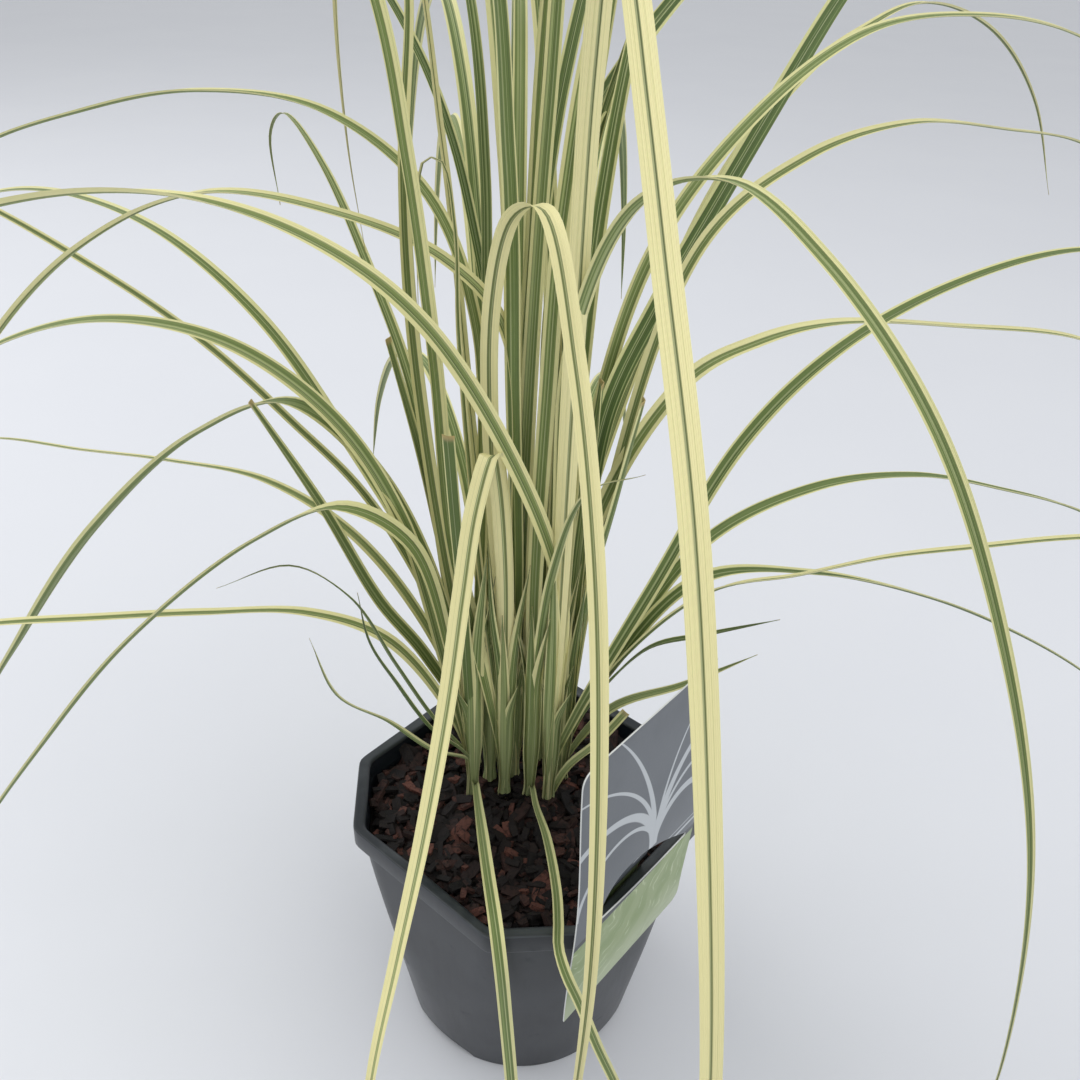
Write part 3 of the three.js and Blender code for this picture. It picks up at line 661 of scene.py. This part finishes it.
across_card = Vector((1, 1, 0)).normalized()
out_of_card = Vector((1, -1, 0)).normalized()
card_frame = Matrix((across_card, Vector((0, 0, 1)), out_of_card)).transposed().to_4x4()
card_place = Matrix.Translation((0, 0, POT_HEIGHT * MM)) @ card_frame


def bent(start, control, end, steps=14):
    """Points of a curve that leaves start towards control and reaches end."""
    return [
        tuple((1 - t) ** 2 * a + 2 * t * (1 - t) * b + t * t * c for a, b, c in zip(start, control, end))
        for t in np.linspace(0, 1, steps + 1)
    ]


def card_outline():
    """The card's edge, across and up from the middle of the rim's face, with two corners round."""
    left, right, bottom, top, corner = (CARD[k] for k in ("left", "right", "bottom", "top", "corner"))
    return [
        (left, bottom),
        *bent((right - corner, bottom), (right, bottom), (right, bottom + corner), 8),
        (right, top),
        *bent((left + corner, top), (left, top), (left, top - corner), 8),
    ]


def slit_outline():
    """The lens that opens where the tongue is pushed in: nearly straight below, peaked above."""
    left, right, left_up, right_up = (SLIT[k] for k in ("left", "right", "left_up", "right_up"))
    lower = bent((left, left_up), ((left + right) / 2, SLIT_SAG), (right, right_up))
    return [*lower, *bent((right, right_up + 2), SLIT_PEAK, (left, left_up + SLIT_MOUTH), 22)]


def card_bow(up):
    """How far the card bellies out at a height over the rim."""
    share = (up - CARD["bottom"]) / (CARD["top"] - CARD["bottom"])
    return CARD_BOW * math.sin(math.pi * share) ** 2


drawing = bpy.data.curves.new("card_drawing", "CURVE")
drawing.dimensions = "2D"
drawing.fill_mode = "BOTH"
drawing.extrude = CARD["thick"] / 2 * MM
drawing.bevel_depth = CARD_EDGE * MM
for outline in (card_outline(), slit_outline()):
    spline = drawing.splines.new("POLY")
    spline.points.add(len(outline) - 1)
    for point, (x, y) in zip(spline.points, outline):
        point.co = (x * MM, y * MM, 0, 1)
    spline.use_cyclic_u = True
draft = place_object("card_drawing", drawing)
card_mesh = flat_copy(draft)
bpy.data.objects.remove(draft)
shape = bmesh.new()
shape.from_mesh(card_mesh)
bmesh.ops.remove_doubles(shape, verts=shape.verts, dist=0.00001)
for up_at in np.arange(CARD["bottom"] + CARD_ROW, CARD["top"], CARD_ROW):
    everything = [*shape.verts, *shape.edges, *shape.faces]
    bmesh.ops.bisect_plane(shape, geom=everything, plane_co=(0, up_at * MM, 0), plane_no=(0, 1, 0))

tongue_line = list(TONGUE_FROM_CARD)
tongue_line += [(RIM_LONG_FACE - RIM_BAND + out - CARD_BACK, up_at) for out, up_at in TONGUE_FROM_RIM]
front, back = [], []
for line, thick, lean in ((front, 0, 0), (back, TONGUE["thick"], TONGUE["lean"])):
    for out, up_at in tongue_line:
        for x in np.linspace(TONGUE["left"], TONGUE["right"], TONGUE["across"] + 1):
            point = (x, up_at + lean, out - CARD["thick"] / 2 - thick)
            line.append(shape.verts.new(tuple(c * MM for c in point)))
strips, stride = TONGUE["across"], TONGUE["across"] + 1
last = (len(tongue_line) - 1) * stride
for first in range(0, last, stride):
    for a in range(first, first + strips):
        shape.faces.new((front[a], front[a + 1], front[a + 1 + stride], front[a + stride]))
        shape.faces.new((back[a], back[a + stride], back[a + 1 + stride], back[a + 1]))
    for a in (first, first + strips):
        shape.faces.new((front[a], front[a + stride], back[a + stride], back[a]))
for first in (0, last):
    for a in range(first, first + strips):
        shape.faces.new((front[a], front[a + 1], back[a + 1], back[a]))
shape.to_mesh(card_mesh)
shape.free()
# The print's own map is laid flat before the card is bowed. The tongue keeps its own curve.
print_map = card_mesh.uv_layers.new(name="print")
for loop in card_mesh.loops:
    x, y, _ = card_mesh.vertices[loop.vertex_index].co
    print_map.data[loop.index].uv = (x * 10, y * 10)
for vertex in card_mesh.vertices:
    vertex.co.z += card_bow(vertex.co.y / MM) * MM * (1 if vertex.co.z > -0.001 else 0)
    vertex.co.z += (CARD_BACK + CARD["thick"] / 2) * MM
card_mesh.transform(card_place)
smooth_shading(card_mesh, 40)

# Grey above and pale green below, with a fan of leaves, two rules and swirled wisps. The back is
# plain. Places in the print are in millimetres.
material, shader, where = new_material("printed_card")
spot = where.add("ShaderNodeUVMap", {"uv_map": "print"}, {}, "UV") * 100
x, y, _ = spot.parts()
fan = None
root_across, root_up = FAN_ROOT


def distance(place, across, up_at):
    """How far a place in the print is from a spot."""
    offset = place - (across, up_at, 0.0)
    return where.add("ShaderNodeVectorMath", {"operation": "LENGTH"}, {0: offset}, "Value")


for reach, side, wide in FAN:
    tall = y - root_up
    stroke = abs(distance(spot, root_across + side * reach, root_up) - reach) / (1.25 - tall / 92)
    half = x.step(root_across, root_across + 0.2) if side > 0 else x.step(root_across + 0.2, root_across)
    stroke = stroke.step(wide, wide * 0.75) * tall.step(0, 0.6) * half
    fan = stroke if fan is None else fan.maths("MAXIMUM", stroke)
rule = abs(y - 17.5).step(1.1, 0.9) * x.step(-14, -13.6)
thin_rule = abs(y - 21.5).step(0.45, 0.3) * x.step(-14, -13.6)
blur = textured(where, 30, 3)
grey = colour(where, CARD_GREY).mix(CARD_GREY_DEEP, blur.step(0.3, 0.8) * 0.6)
grey = grey.mix(CARD_STROKE, fan.maths("MAXIMUM", rule).maths("MAXIMUM", thin_rule))
swirl = where.add("ShaderNodeTexNoise", {}, {"Vector": spot, "Scale": 0.045, "Detail": 2.0}, "Color")
away = distance(spot + (swirl - (0.5, 0.5, 0.5)) * 30, -62.0, 14.0)
wisps = (away * 0.95).maths("SINE").step(0.72, 0.95) * textured(spot, 0.07, 2).step(0.45, 0.62)
streak = (away * 0.31 + 1.1).maths("SINE").step(-0.2, 0.9)
green = colour(where, CARD_GREEN).mix(CARD_GREEN_DEEP, streak * 0.55)
green = green.mix(CARD_LEAF, wisps * 0.75).mix(CARD_FOOT, y.step(-22, -54) * 0.7)
card = green.mix(CARD_RULE, y.step(6.6, 7.2)).mix(grey, y.step(10.5, 11.0))
facing = where.add("ShaderNodeNewGeometry", {}, {}, "Normal")
turned_out = {0: facing, 1: tuple(out_of_card)}
front_side = where.add("ShaderNodeVectorMath", {"operation": "DOT_PRODUCT"}, turned_out, "Value")
link(colour(where, CARD_PLAIN).mix(card, front_side.step(0.3, 0.5)), shader, "Base Color")
link(blur * 0.1 + 0.28, shader, "Roughness")
bump(textured(where, 700, 2), shader, 0.00004)
card_mesh.materials.clear()
card_mesh.materials.append(material)
label = place_object("plant_label", card_mesh, "root")
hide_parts("label_card")


# Leafy shoots. Each is a flat fan of long grass blades that wrap each other at the foot. A blade
# is folded along its midrib, arches over and thins to a long tip, and has a green middle between
# cream margins, in fine stripes that run its whole length.
LEAF_ROOT = 178
LEAF_STEP = 4.5
LEAF_SIDES = 20
LEAF_THICK = 0.2
LEAF_FOLD = 0.26
LEAF_SEED = 31
# How near a root stands to the shoot's middle, how far its hidden tail reaches down, and how much
# a blade leans and waves, in radians.
SNUG = {"least": 1.2, "most": 3.6, "short": 2.2}
TAIL = {"in_sheath": 34, "low": 6}
SWAY = 0.35
WAVE = 0.12
# The short blades that wrap a shoot's foot: how many, where they start, and how far each may turn
# aside, reach up, spread out and measure across.
SHEATHS = 6
SHEATH_FOOT = 160
SHEATH_SNUG = 3.2
SHEATH_TURN = (-30, 30)
SHEATH_TOP = (225, 330)
SHEATH_WIDE = (8, 10.5)
SHEATH_OUT = (5, 14)
SHEATH_REACH = 110
SHEATH_ROLL = 1.5
BLADE_ROLL = 0.3
# A blade widens from its root over the first share of its length and narrows by a power of it to
# the tip. Most of its flat side is turned to the front or back. A long one runs on past its last
# point, tipping down.
TIP_WIDE = 0.45
ROOT_WIDE = 0.62
ROOT_REACH = 0.2
LEAF_FRONT = 0.4
TAPERS = {"long": 5, "whole": 3}
RUN_ON = 76
RUN_ON_DIP = math.radians(18)
STEEPEST = math.radians(-85)
LOWEST = 22
BLADE_OLIVE = linear(150, 152, 96)
BLADE_GREEN = linear(150, 166, 98)
BLADE_DEEP = linear(92, 114, 58)
STRIPE_DARK = linear(70, 88, 48)
STRIPE_LIGHT = linear(192, 202, 142)
MARGIN_CREAM = linear(224, 224, 160)
MARGIN_YELLOW = linear(250, 242, 182)
MARGIN_STRIPE = linear(190, 194, 126)
EDGE_GREEN = linear(88, 106, 56)
MIDRIB_PALE = linear(214, 218, 168)
FOOT_PALE = linear(164, 172, 128)
CUT_TAN = linear(176, 160, 118)
DRY_TIP = linear(196, 172, 112)
# green is the half width of the green middle, as a share of the blade's own, and depth is how dark
# it is. pale is how yellow the margins are.
LOOKS = {
    "dark": {"green": 0.86, "depth": 0.95, "pale": 0.2},
    "deep": {"green": 0.70, "depth": 0.70, "pale": 0.35},
    "even": {"green": 0.60, "depth": 0.45, "pale": 0.5},
    "cream": {"green": 0.42, "depth": 0.45, "pale": 0.7},
    "pale": {"green": 0.19, "depth": 0.55, "pale": 1.0},
    "yellow": {"green": 0.10, "depth": 0.25, "pale": 1.0},
}
# Each shoot has its foot on the bark and its blades. A blade has a compass turn in degrees from +X,
# a width, a look, and the points its midline runs through after the root: how far out, how high
# above the table, and, where it bends sideways, how far to its left. A cut blade stops at its last
# point, a whole one narrows to it, and any other runs on past it. A last number is the root's height.
SHOOTS = [
    ((-30, 8), [
        (165, 8, "even", [(15, 250), (35, 335), (65, 385), (110, 415), (170, 420), (240, 395), (310, 340)]),
        (162, 8.5, "even", [(10, 262), (45, 355), (85, 387), (135, 365), (210, 295), (280, 205), (330, 130)]),
        (180, 8, "even", [(12, 260), (30, 328), (60, 347), (100, 330), (165, 275), (220, 210), (290, 110)]),
        (170, 7, "cream", [(15, 220), (45, 262), (85, 274), (140, 268), (200, 258), (270, 245), (330, 225)]),
        (185, 4, "dark", [(22, 215), (40, 255), (60, 300), (85, 320), (120, 310)], "whole"),
        (220, 4, "dark", [(30, 225), (48, 265), (62, 300), (66, 330)], "whole"),
        (210, 6, "deep", [(25, 200), (50, 235), (75, 265), (85, 305)], "whole"),
        (120, 7, "even", [(25, 290), (55, 385), (95, 432), (140, 470), (185, 486), (208, 470),
            (204, 435)], "whole"),
        (-90, 7, "even", [(6, 166, 1), (20, 168, 2), (66, 168, 6), (104, 174, 9), (115, 160, 11),
            (118, 120, 14), (124, 62, 18), (128, 22, 20)], "cut", 150),
        (235, 6, "deep", [(8, 290), (14, 350), (18, 392)], "cut"),
    ]),
    ((-20, 18), [
        (162, 5, "cream", [(30, 270), (65, 335), (100, 370), (140, 405), (190, 435), (260, 465), (350, 475)]),
        (180, 7, "cream", [(22, 300), (35, 430), (36, 500), (32, 565), (42, 620), (80, 640)]),
        (178, 6, "deep", [(22, 300), (34, 370), (46, 425)], "cut"),
    ]),
    ((-12, 8), [
        (180, 9, "even", [(15, 260), (28, 330), (34, 420), (42, 500), (52, 560), (78, 620), (120, 648),
            (170, 640)]),
        (165, 5, "cream", [(16, 320), (24, 430), (25, 475), (30, 500), (36, 500), (40, 478),
            (41, 440)], "whole"),
        (-115, 9, "pale", [(2, 250), (6, 320), (10, 365, -2), (18, 383, -2), (31, 362, -4), (50, 329, -2),
            (77, 292, 3), (117, 247, 9), (154, 215, 14), (190, 189, 20)]),
        (-150, 6, "deep", [(4, 240), (10, 290), (12, 330)], "whole"),
    ]),
    ((-6, 20), [
        (172, 7, "cream", [(3, 320), (10, 430), (35, 458), (80, 475), (135, 480), (190, 455), (245, 405),
            (290, 340)]),
        (-90, 8, "pale", [(2, 330, -12), (8, 440, -15), (20, 482, -8), (45, 492, 3), (85, 450, 12),
            (130, 392, 17), (165, 328, 18), (190, 250, 17), (203, 180, 13)]),
        (10, 9, "even", [(2, 320), (4, 420), (8, 520), (14, 600), (34, 660), (80, 685)]),
        (120, 8, "even", [(3, 300), (8, 400), (18, 500), (42, 590), (85, 630), (135, 620)]),
        (200, 8, "deep", [(2, 300), (6, 400), (10, 500), (22, 590), (60, 650), (110, 640)]),
    ]),
    ((2, 6), [
        (-90, 5.5, "even", [(8, 166, 1), (20, 165, 2), (46, 168, 6), (80, 170, 8), (100, 172, 7),
            (112, 171, 6), (119, 163, 9), (123, 145, 16), (126, 110, 27), (127, 70, 40),
            (128, 30, 50)], "cut", 150),
        (-60, 7, "even", [(4, 250), (14, 320), (34, 372), (70, 400)], "whole"),
        (40, 8, "even", [(2, 300, 3), (5, 400, 3), (10, 480, 3), (24, 560), (60, 610)]),
    ]),
    ((13, 2), [
        (180, 9, "cream", [(-2, 250), (0, 300), (22, 368, 2), (62, 440, 5), (100, 472, 5), (150, 490, 5),
            (215, 485), (300, 452), (370, 395)]),
        (-85, 9.5, "yellow", [(2, 330), (4, 440), (10, 540), (24, 588), (50, 572), (82, 540), (115, 505),
            (168, 448), (212, 375), (245, 300), (262, 220), (272, 150)]),
        (-55, 7.5, "even", [(-2, 330), (0, 430), (30, 494), (72, 512), (114, 497), (162, 461), (200, 408),
            (233, 337), (254, 240), (258, 160)], "whole"),
        (15, 7.5, "deep", [(12, 210), (50, 290), (90, 370), (130, 410), (185, 437), (260, 450), (340, 435)]),
        (35, 6, "cream", [(12, 168), (35, 174), (58, 186)], "cut", 152),
        (62, 8.5, "deep", [(3, 300), (10, 400), (24, 480), (50, 545)]),
    ]),
    ((-28, 30), [
        (170, 7, "even", [(-3, 330), (0, 430), (20, 483), (60, 512), (110, 517), (160, 507), (215, 487),
            (290, 430)]),
        (155, 6, "cream", [(30, 250), (70, 297), (120, 318), (185, 316), (245, 309), (320, 300)]),
        (145, 7, "even", [(22, 265), (82, 350), (127, 398), (187, 430), (252, 440), (322, 432), (400, 400)]),
        (180, 7, "deep", [(28, 240), (50, 276), (75, 335), (102, 390)], "cut"),
    ]),
    ((-8, 40), [
        (165, 5, "yellow", [(20, 350), (34, 500), (48, 585), (66, 606), (75, 560), (75, 500),
            (70, 450)], "whole"),
        (180, 8, "dark", [(12, 330), (15, 430), (16, 490), (22, 555), (40, 620), (80, 660)]),
        (88, 7, "even", [(6, 330), (20, 450), (60, 540), (120, 560), (190, 520)]),
        (60, 7.5, "deep", [(5, 310), (15, 420), (40, 520), (90, 590), (150, 600)]),
    ]),
    ((10, 32), [
        (40, 8, "dark", [(-2, 330), (-5, 430), (2, 475), (14, 510), (38, 535), (72, 560), (120, 585),
            (180, 590)]),
        (20, 7, "even", [(15, 330, 1), (45, 450, 3), (85, 505), (140, 540), (205, 546), (275, 535),
            (350, 500)]),
        (0, 9, "even", [(-8, 300), (-14, 390), (-12, 460), (-9, 550), (-2, 620), (22, 680), (60, 700)]),
        (30, 4, "cream", [(-3, 400, -5), (-5, 475, -5), (0, 505, -5), (5, 545, -4), (25, 600), (60, 625)]),
        (30, 4, "deep", [(2, 400), (6, 465), (14, 500), (22, 525), (40, 560), (80, 590)]),
        (60, 7, "even", [(3, 320), (10, 420), (26, 520), (60, 600), (110, 630)]),
    ]),
    ((22, 18), [
        (40, 9.5, "dark", [(5, 290), (15, 385), (45, 430), (80, 470), (117, 510), (155, 549), (205, 588),
            (270, 605)]),
        (20, 6, "cream", [(15, 330), (52, 462), (100, 495), (155, 506), (215, 500), (270, 490), (340, 455)]),
        (15, 8, "cream", [(10, 330), (50, 400), (85, 415), (125, 420), (205, 410), (285, 395), (350, 365)]),
        (10, 7, "deep", [(25, 235), (70, 310), (125, 335), (185, 336), (245, 320), (300, 300), (365, 262)]),
        (0, 7, "deep", [(25, 240), (65, 295), (125, 297), (190, 280), (245, 255), (295, 225), (345, 185)]),
        (-10, 6, "cream", [(28, 245), (70, 296), (110, 310), (150, 325), (190, 335), (235, 345), (310, 352)]),
        (2, 6, "deep", [(25, 205), (65, 220), (105, 240)], "whole", 165),
        (-12, 6, "dark", [(40, 255), (70, 270), (105, 285)], "whole"),
        (8, 9, "deep", [(2, 290), (5, 350), (8, 405)], "cut"),
        (-2, 8, "deep", [(8, 280), (18, 340), (27, 397)], "cut"),
    ]),
    ((-18, 50), [
        (130, 5, "dark", [(0, 330), (5, 425), (15, 462), (28, 495), (48, 525), (80, 555), (130, 585),
            (180, 590)]),
        (100, 8, "even", [(6, 300), (25, 420), (70, 510), (130, 545), (200, 520), (260, 450)]),
        (96, 7, "cream", [(10, 280), (40, 370), (95, 445), (160, 475), (230, 455), (290, 390)]),
        (108, 7.5, "even", [(15, 250), (50, 320), (110, 350), (180, 330), (240, 270)]),
    ]),
    ((12, 52), [
        (30, 6, "cream", [(30, 330), (90, 470), (140, 518), (175, 535), (215, 545), (280, 530), (340, 490)]),
        (75, 8, "deep", [(8, 290), (35, 400), (85, 470), (150, 490), (220, 460), (280, 390)]),
        (85, 7.5, "even", [(10, 260), (45, 350), (100, 400), (170, 395), (230, 340), (270, 270)]),
        (72, 7, "even", [(12, 240), (50, 310), (110, 335), (180, 315), (250, 260)]),
        (105, 8, "cream", [(4, 330), (16, 450), (50, 560), (110, 620), (170, 615)]),
    ]),
]


def midline(points, spacing):
    """A smooth line through the points, as places an even distance apart and how far along each is."""
    points = np.array(points, float)
    ends = [2 * points[0] - points[1], *points, 2 * points[-1] - points[-2]]
    dense = []
    for a, b, c, d in zip(ends, ends[1:], ends[2:], ends[3:]):
        before, between, after = (math.sqrt(np.linalg.norm(q - p)) for p, q in ((a, b), (b, c), (c, d)))
        leaving = between * ((b - a) / before - (c - a) / (before + between) + (c - b) / between)
        reaching = between * ((c - b) / between - (d - b) / (between + after) + (d - c) / after)
        t = np.linspace(0, 1, 30, endpoint=False)[:, None]
        squared = 3 * (c - b) - 2 * leaving - reaching
        cubed = 2 * (b - c) + leaving + reaching
        dense.append(b + leaving * t + squared * t**2 + cubed * t**3)
    dense = np.concatenate([*dense, points[-1:]])
    far = np.concatenate([[0], np.cumsum(np.linalg.norm(np.diff(dense, axis=0), axis=1))])
    places = np.linspace(0, far[-1], max(4, math.ceil(far[-1] / spacing)))
    return np.stack([np.interp(places, far, dense[:, k]) for k in range(3)], 1), places


def unit(vectors):
    """Each row at length 1."""
    return vectors / np.linalg.norm(vectors, axis=1)[:, None]


def run_on(path):
    """One more point past the end of a path, tipping down as it goes."""
    (out, up, side), (last_out, last_up, last_side) = ((*p, 0)[:3] for p in path[-2:])
    step = RUN_ON / math.hypot(last_out - out, last_up - up)
    slope = max(STEEPEST, math.atan2(last_up - up, last_out - out) - RUN_ON_DIP)
    rise = last_up + RUN_ON * math.sin(slope)
    return (last_out + RUN_ON * math.cos(slope), max(LOWEST, rise), last_side + (last_side - side) * step)


def blade_line(foot, chance, turn, wide, look, path, end="long", root=LEAF_ROOT, snug=SNUG["short"]):
    """One blade's midline and, at each place on it, the values that its shape and stripes need."""
    if end == "long":
        path = [*path, run_on(path)]
    angle = math.radians(turn)
    ahead = np.array([math.cos(angle), math.sin(angle), 0])
    left = np.array([-math.sin(angle), math.cos(angle), 0])
    tail = TAIL["in_sheath" if root == LEAF_ROOT else "low"]
    stations = []
    for out, up_at, *aside in [(snug, root - tail), (snug * 0.7, root), *path]:
        stations.append(np.array([*foot, up_at]) + ahead * out + left * (aside[0] if aside else 0))
    places, far = midline(stations, LEAF_STEP)
    tangent = unit(np.gradient(places, axis=0))
    under = np.linalg.norm(np.array(stations[1]) - stations[0])
    along = np.clip((far - under) / (far[-1] - under), 0, 1)
    bearing = turn - 360 if turn > 180 else turn
    facing = math.copysign(90, bearing) if bearing else 90
    twist = np.radians((facing - bearing) * (1 - LEAF_FRONT) * (1 - along**3)) + angle
    left = np.stack([-np.sin(twist), np.cos(twist), 0 * twist], 1)
    across = unit(left - tangent * np.sum(tangent * left, 1)[:, None])
    above = np.cross(tangent, across)
    lean = chance.uniform(-SWAY, SWAY) * along
    lean = lean + WAVE * np.sin(far / chance.uniform(45, 80) + chance.uniform(0, 6))
    across, above = (
        across * np.cos(lean)[:, None] + above * np.sin(lean)[:, None],
        above * np.cos(lean)[:, None] - across * np.sin(lean)[:, None],
    )
    taper = 1 - along ** TAPERS[end] if end in TAPERS else 1
    widening = ROOT_WIDE + (1 - ROOT_WIDE) * np.minimum(1, along / ROOT_REACH)
    width = np.maximum(TIP_WIDE, wide * widening * taper)
    sheathed = np.clip(1 - far / SHEATH_REACH, 0, 1)
    sheathed = sheathed * sheathed * (3 - 2 * sheathed)
    steady = np.ones(len(far))
    kind = LOOKS[look]
    return places * MM, {
        "across": across,
        "above": above,
        "half": width / 2 * MM,
        "roll": BLADE_ROLL + (SHEATH_ROLL - BLADE_ROLL) * sheathed,
        "reach": far * MM,
        "cut_end": np.clip(1 - (far[-1] - far) / 2.5, 0, 1) * (end == "cut"),
        "tip": along,
        "green": steady * min(0.95, kind["green"] * chance.uniform(0.85, 1.15)),
        "shift": steady * chance.uniform(-0.16, 0.16),
        "depth": steady * min(1, kind["depth"] * chance.uniform(0.8, 1.2)),
        "pale": steady * kind["pale"],
        "own": steady * chance.uniform(0, 60),
    }


def line_mesh(name, lines):
    """All the midlines of a shoot as one mesh of edges, with their values as attributes."""
    mesh = bpy.data.meshes.new(name)
    edges = []
    first = 0
    for places, _ in lines:
        edges += [(first + i, first + i + 1) for i in range(len(places) - 1)]
        first += len(places)
    spots = np.concatenate([places for places, _ in lines])
    mesh.from_pydata(spots.tolist(), edges, [])
    values = {key: np.concatenate([own[key] for _, own in lines]) for key in lines[0][1]}
    for key, value in {"spot": spots, **values}.items():
        vector = value.ndim > 1
        attribute = mesh.attributes.new(key, "FLOAT_VECTOR" if vector else "FLOAT", "POINT")
        attribute.data.foreach_set("vector" if vector else "value", value.astype(np.float32).ravel())
    return mesh


def blade_tree():
    """Blades on midlines: a thin leaf section that wraps at the foot and folds along the midrib."""
    tree, given = new_tree("grass_blades", Int="Sides", Float="Thickness Fold", Material="Material")
    lines = given["Geometry"]

    def own(name, vector=False):
        kind = "FLOAT_VECTOR" if vector else "FLOAT"
        return lines.add("GeometryNodeInputNamedAttribute", {"data_type": kind}, {"Name": name})

    ring = lines.add("GeometryNodeCurvePrimitiveCircle", {}, {"Resolution": given["Sides"], "Radius": 1.0})
    round_x, round_y, _ = lines.add("GeometryNodeInputPosition").parts()
    for name, value in (("side", round_x), ("face", round_y)):
        ring = ring.add("GeometryNodeStoreNamedAttribute", {"data_type": "FLOAT", "domain": "POINT"}, {
            "Geometry": ring, "Name": name, "Value": value,
        })
    curve = lines.add("GeometryNodeMeshToCurve", {}, {"Mesh": lines})
    tube = curve.add("GeometryNodeCurveToMesh", {}, {
        "Curve": curve, "Profile Curve": ring, "Scale": MM, "Fill Caps": True,
    })
    side, face, half, roll = own("side"), own("face"), own("half"), own("roll")
    bend = side * roll
    sine, cosine = bend.maths("SINE"), bend.maths("COSINE")
    flat = half * sine / roll
    lift = half * (1 - cosine) / roll
    crease = ((side * side + 0.012) ** 0.5 - 0.11) * half * given["Fold"]
    thick = face * (half * 0.3).maths("MINIMUM", given["Thickness"])
    across, above = own("across", True), own("above", True)
    place = own("spot", True) + across * (flat - sine * thick) + above * (lift + crease + cosine * thick)
    shaped = tube.add("GeometryNodeSetPosition", {}, {"Geometry": tube, "Position": place})
    end_tree(tree, shaped, given["Material"])
    return tree


# Satin leaf, green between pale margins, striped along its length and paler at the foot and along
# the midrib. Cut ends are tan and tips are dry.
material, shader, where = new_material("variegated_leaf")


def value_of(name):
    """A value that the blade's mesh carries."""
    return where.add("ShaderNodeAttribute", {"attribute_name": name}, {}, "Fac")


side, reach, own_number = value_of("side"), value_of("reach"), value_of("own")
depth, pale = value_of("depth"), value_of("pale")


def stripes(fineness, drift, number):
    """Noise drawn out along the blade, different on each."""
    spot = {"X": side * fineness + own_number * number, "Y": reach * drift, "Z": own_number}
    vector = where.add("ShaderNodeCombineXYZ", {}, spot)
    return textured(vector, 1.0, 2.0, 0.6)


wander = stripes(1.5, 3, 1.3)
edge = abs(side - value_of("shift")) + (wander - 0.5) * 0.25
fine = stripes(9, 1.2, 2.7)
broad = stripes(4, 0.9, 4.1)
leaf_green = colour(where, BLADE_OLIVE).mix(BLADE_GREEN, pale.step(1.0, 0.56)).mix(BLADE_DEEP, depth)
leaf_green = leaf_green.mix(STRIPE_DARK, fine.step(0.52, 0.60) * 0.65)
leaf_green = leaf_green.mix(STRIPE_LIGHT, broad.step(0.54, 0.62) * 0.7)
margin = colour(where, MARGIN_CREAM).mix(MARGIN_YELLOW, pale)
margin = margin.mix(MARGIN_STRIPE, stripes(11, 1.0, 5.3).step(0.56, 0.66) * 0.35)
from_green = edge - value_of("green")
green_edge = abs(from_green).step(0.07, 0.02)
leaf = margin.mix(leaf_green, from_green.step(0.05, -0.05))
leaf = leaf.mix(EDGE_GREEN, green_edge * (1 - pale * 0.5) * 0.7)
leaf = leaf.mix(MIDRIB_PALE, abs(side).step(0.06, 0.02) * 0.5)
leaf = leaf.mix(FOOT_PALE, reach.step(0.11, 0.02) * 0.5)
leaf = leaf.mix(CUT_TAN, value_of("cut_end").step(0.1, 0.9) * 0.8)
leaf = leaf.mix(DRY_TIP, value_of("tip").step(0.985, 1.0) * (wander + 0.3))
link(leaf, shader, "Base Color")
link(fine * 0.2 + 0.34, shader, "Roughness")
shader.inputs["Specular IOR Level"].default_value = 0.4
ribs = (side * 46).maths("SINE") * 0.5 + stripes(14, 0.5, 3.1)
bump(ribs, shader, 0.00012)

blades = blade_tree()
chance = random.Random(LEAF_SEED)
for number, (foot, leaves) in enumerate(SHOOTS, 1):
    lines = []
    for order, (turn, wide, look, path, *rest) in enumerate(leaves):
        snug = SNUG["least"] + (SNUG["most"] - SNUG["least"]) * (len(leaves) - order) / len(leaves)
        settings = {} if rest else {"snug": snug}
        lines.append(blade_line(foot, chance, turn, wide, look, path, *rest, **settings))
    for k in range(SHEATHS):
        turn = 360 / SHEATHS * k + chance.uniform(*SHEATH_TURN)
        top = chance.uniform(*SHEATH_TOP)
        wide = chance.uniform(*SHEATH_WIDE)
        path = [(SHEATH_SNUG, 190), (4, (190 + top) / 2), (chance.uniform(*SHEATH_OUT), top)]
        look = chance.choice(("even", "cream", "deep"))
        lines.append(blade_line(foot, chance, turn, wide, look, path, "whole", SHEATH_FOOT, SHEATH_SNUG))
    name = f"shoot_{number:02d}"
    mesh = grow("grass_" + name, line_mesh(name, lines), blades, {
        "Sides": LEAF_SIDES, "Thickness": LEAF_THICK * MM, "Fold": LEAF_FOLD,
    }, material)
    smooth_shading(mesh, 60)
    piece = place_object("grass_" + name, mesh, "root")
    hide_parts(name)
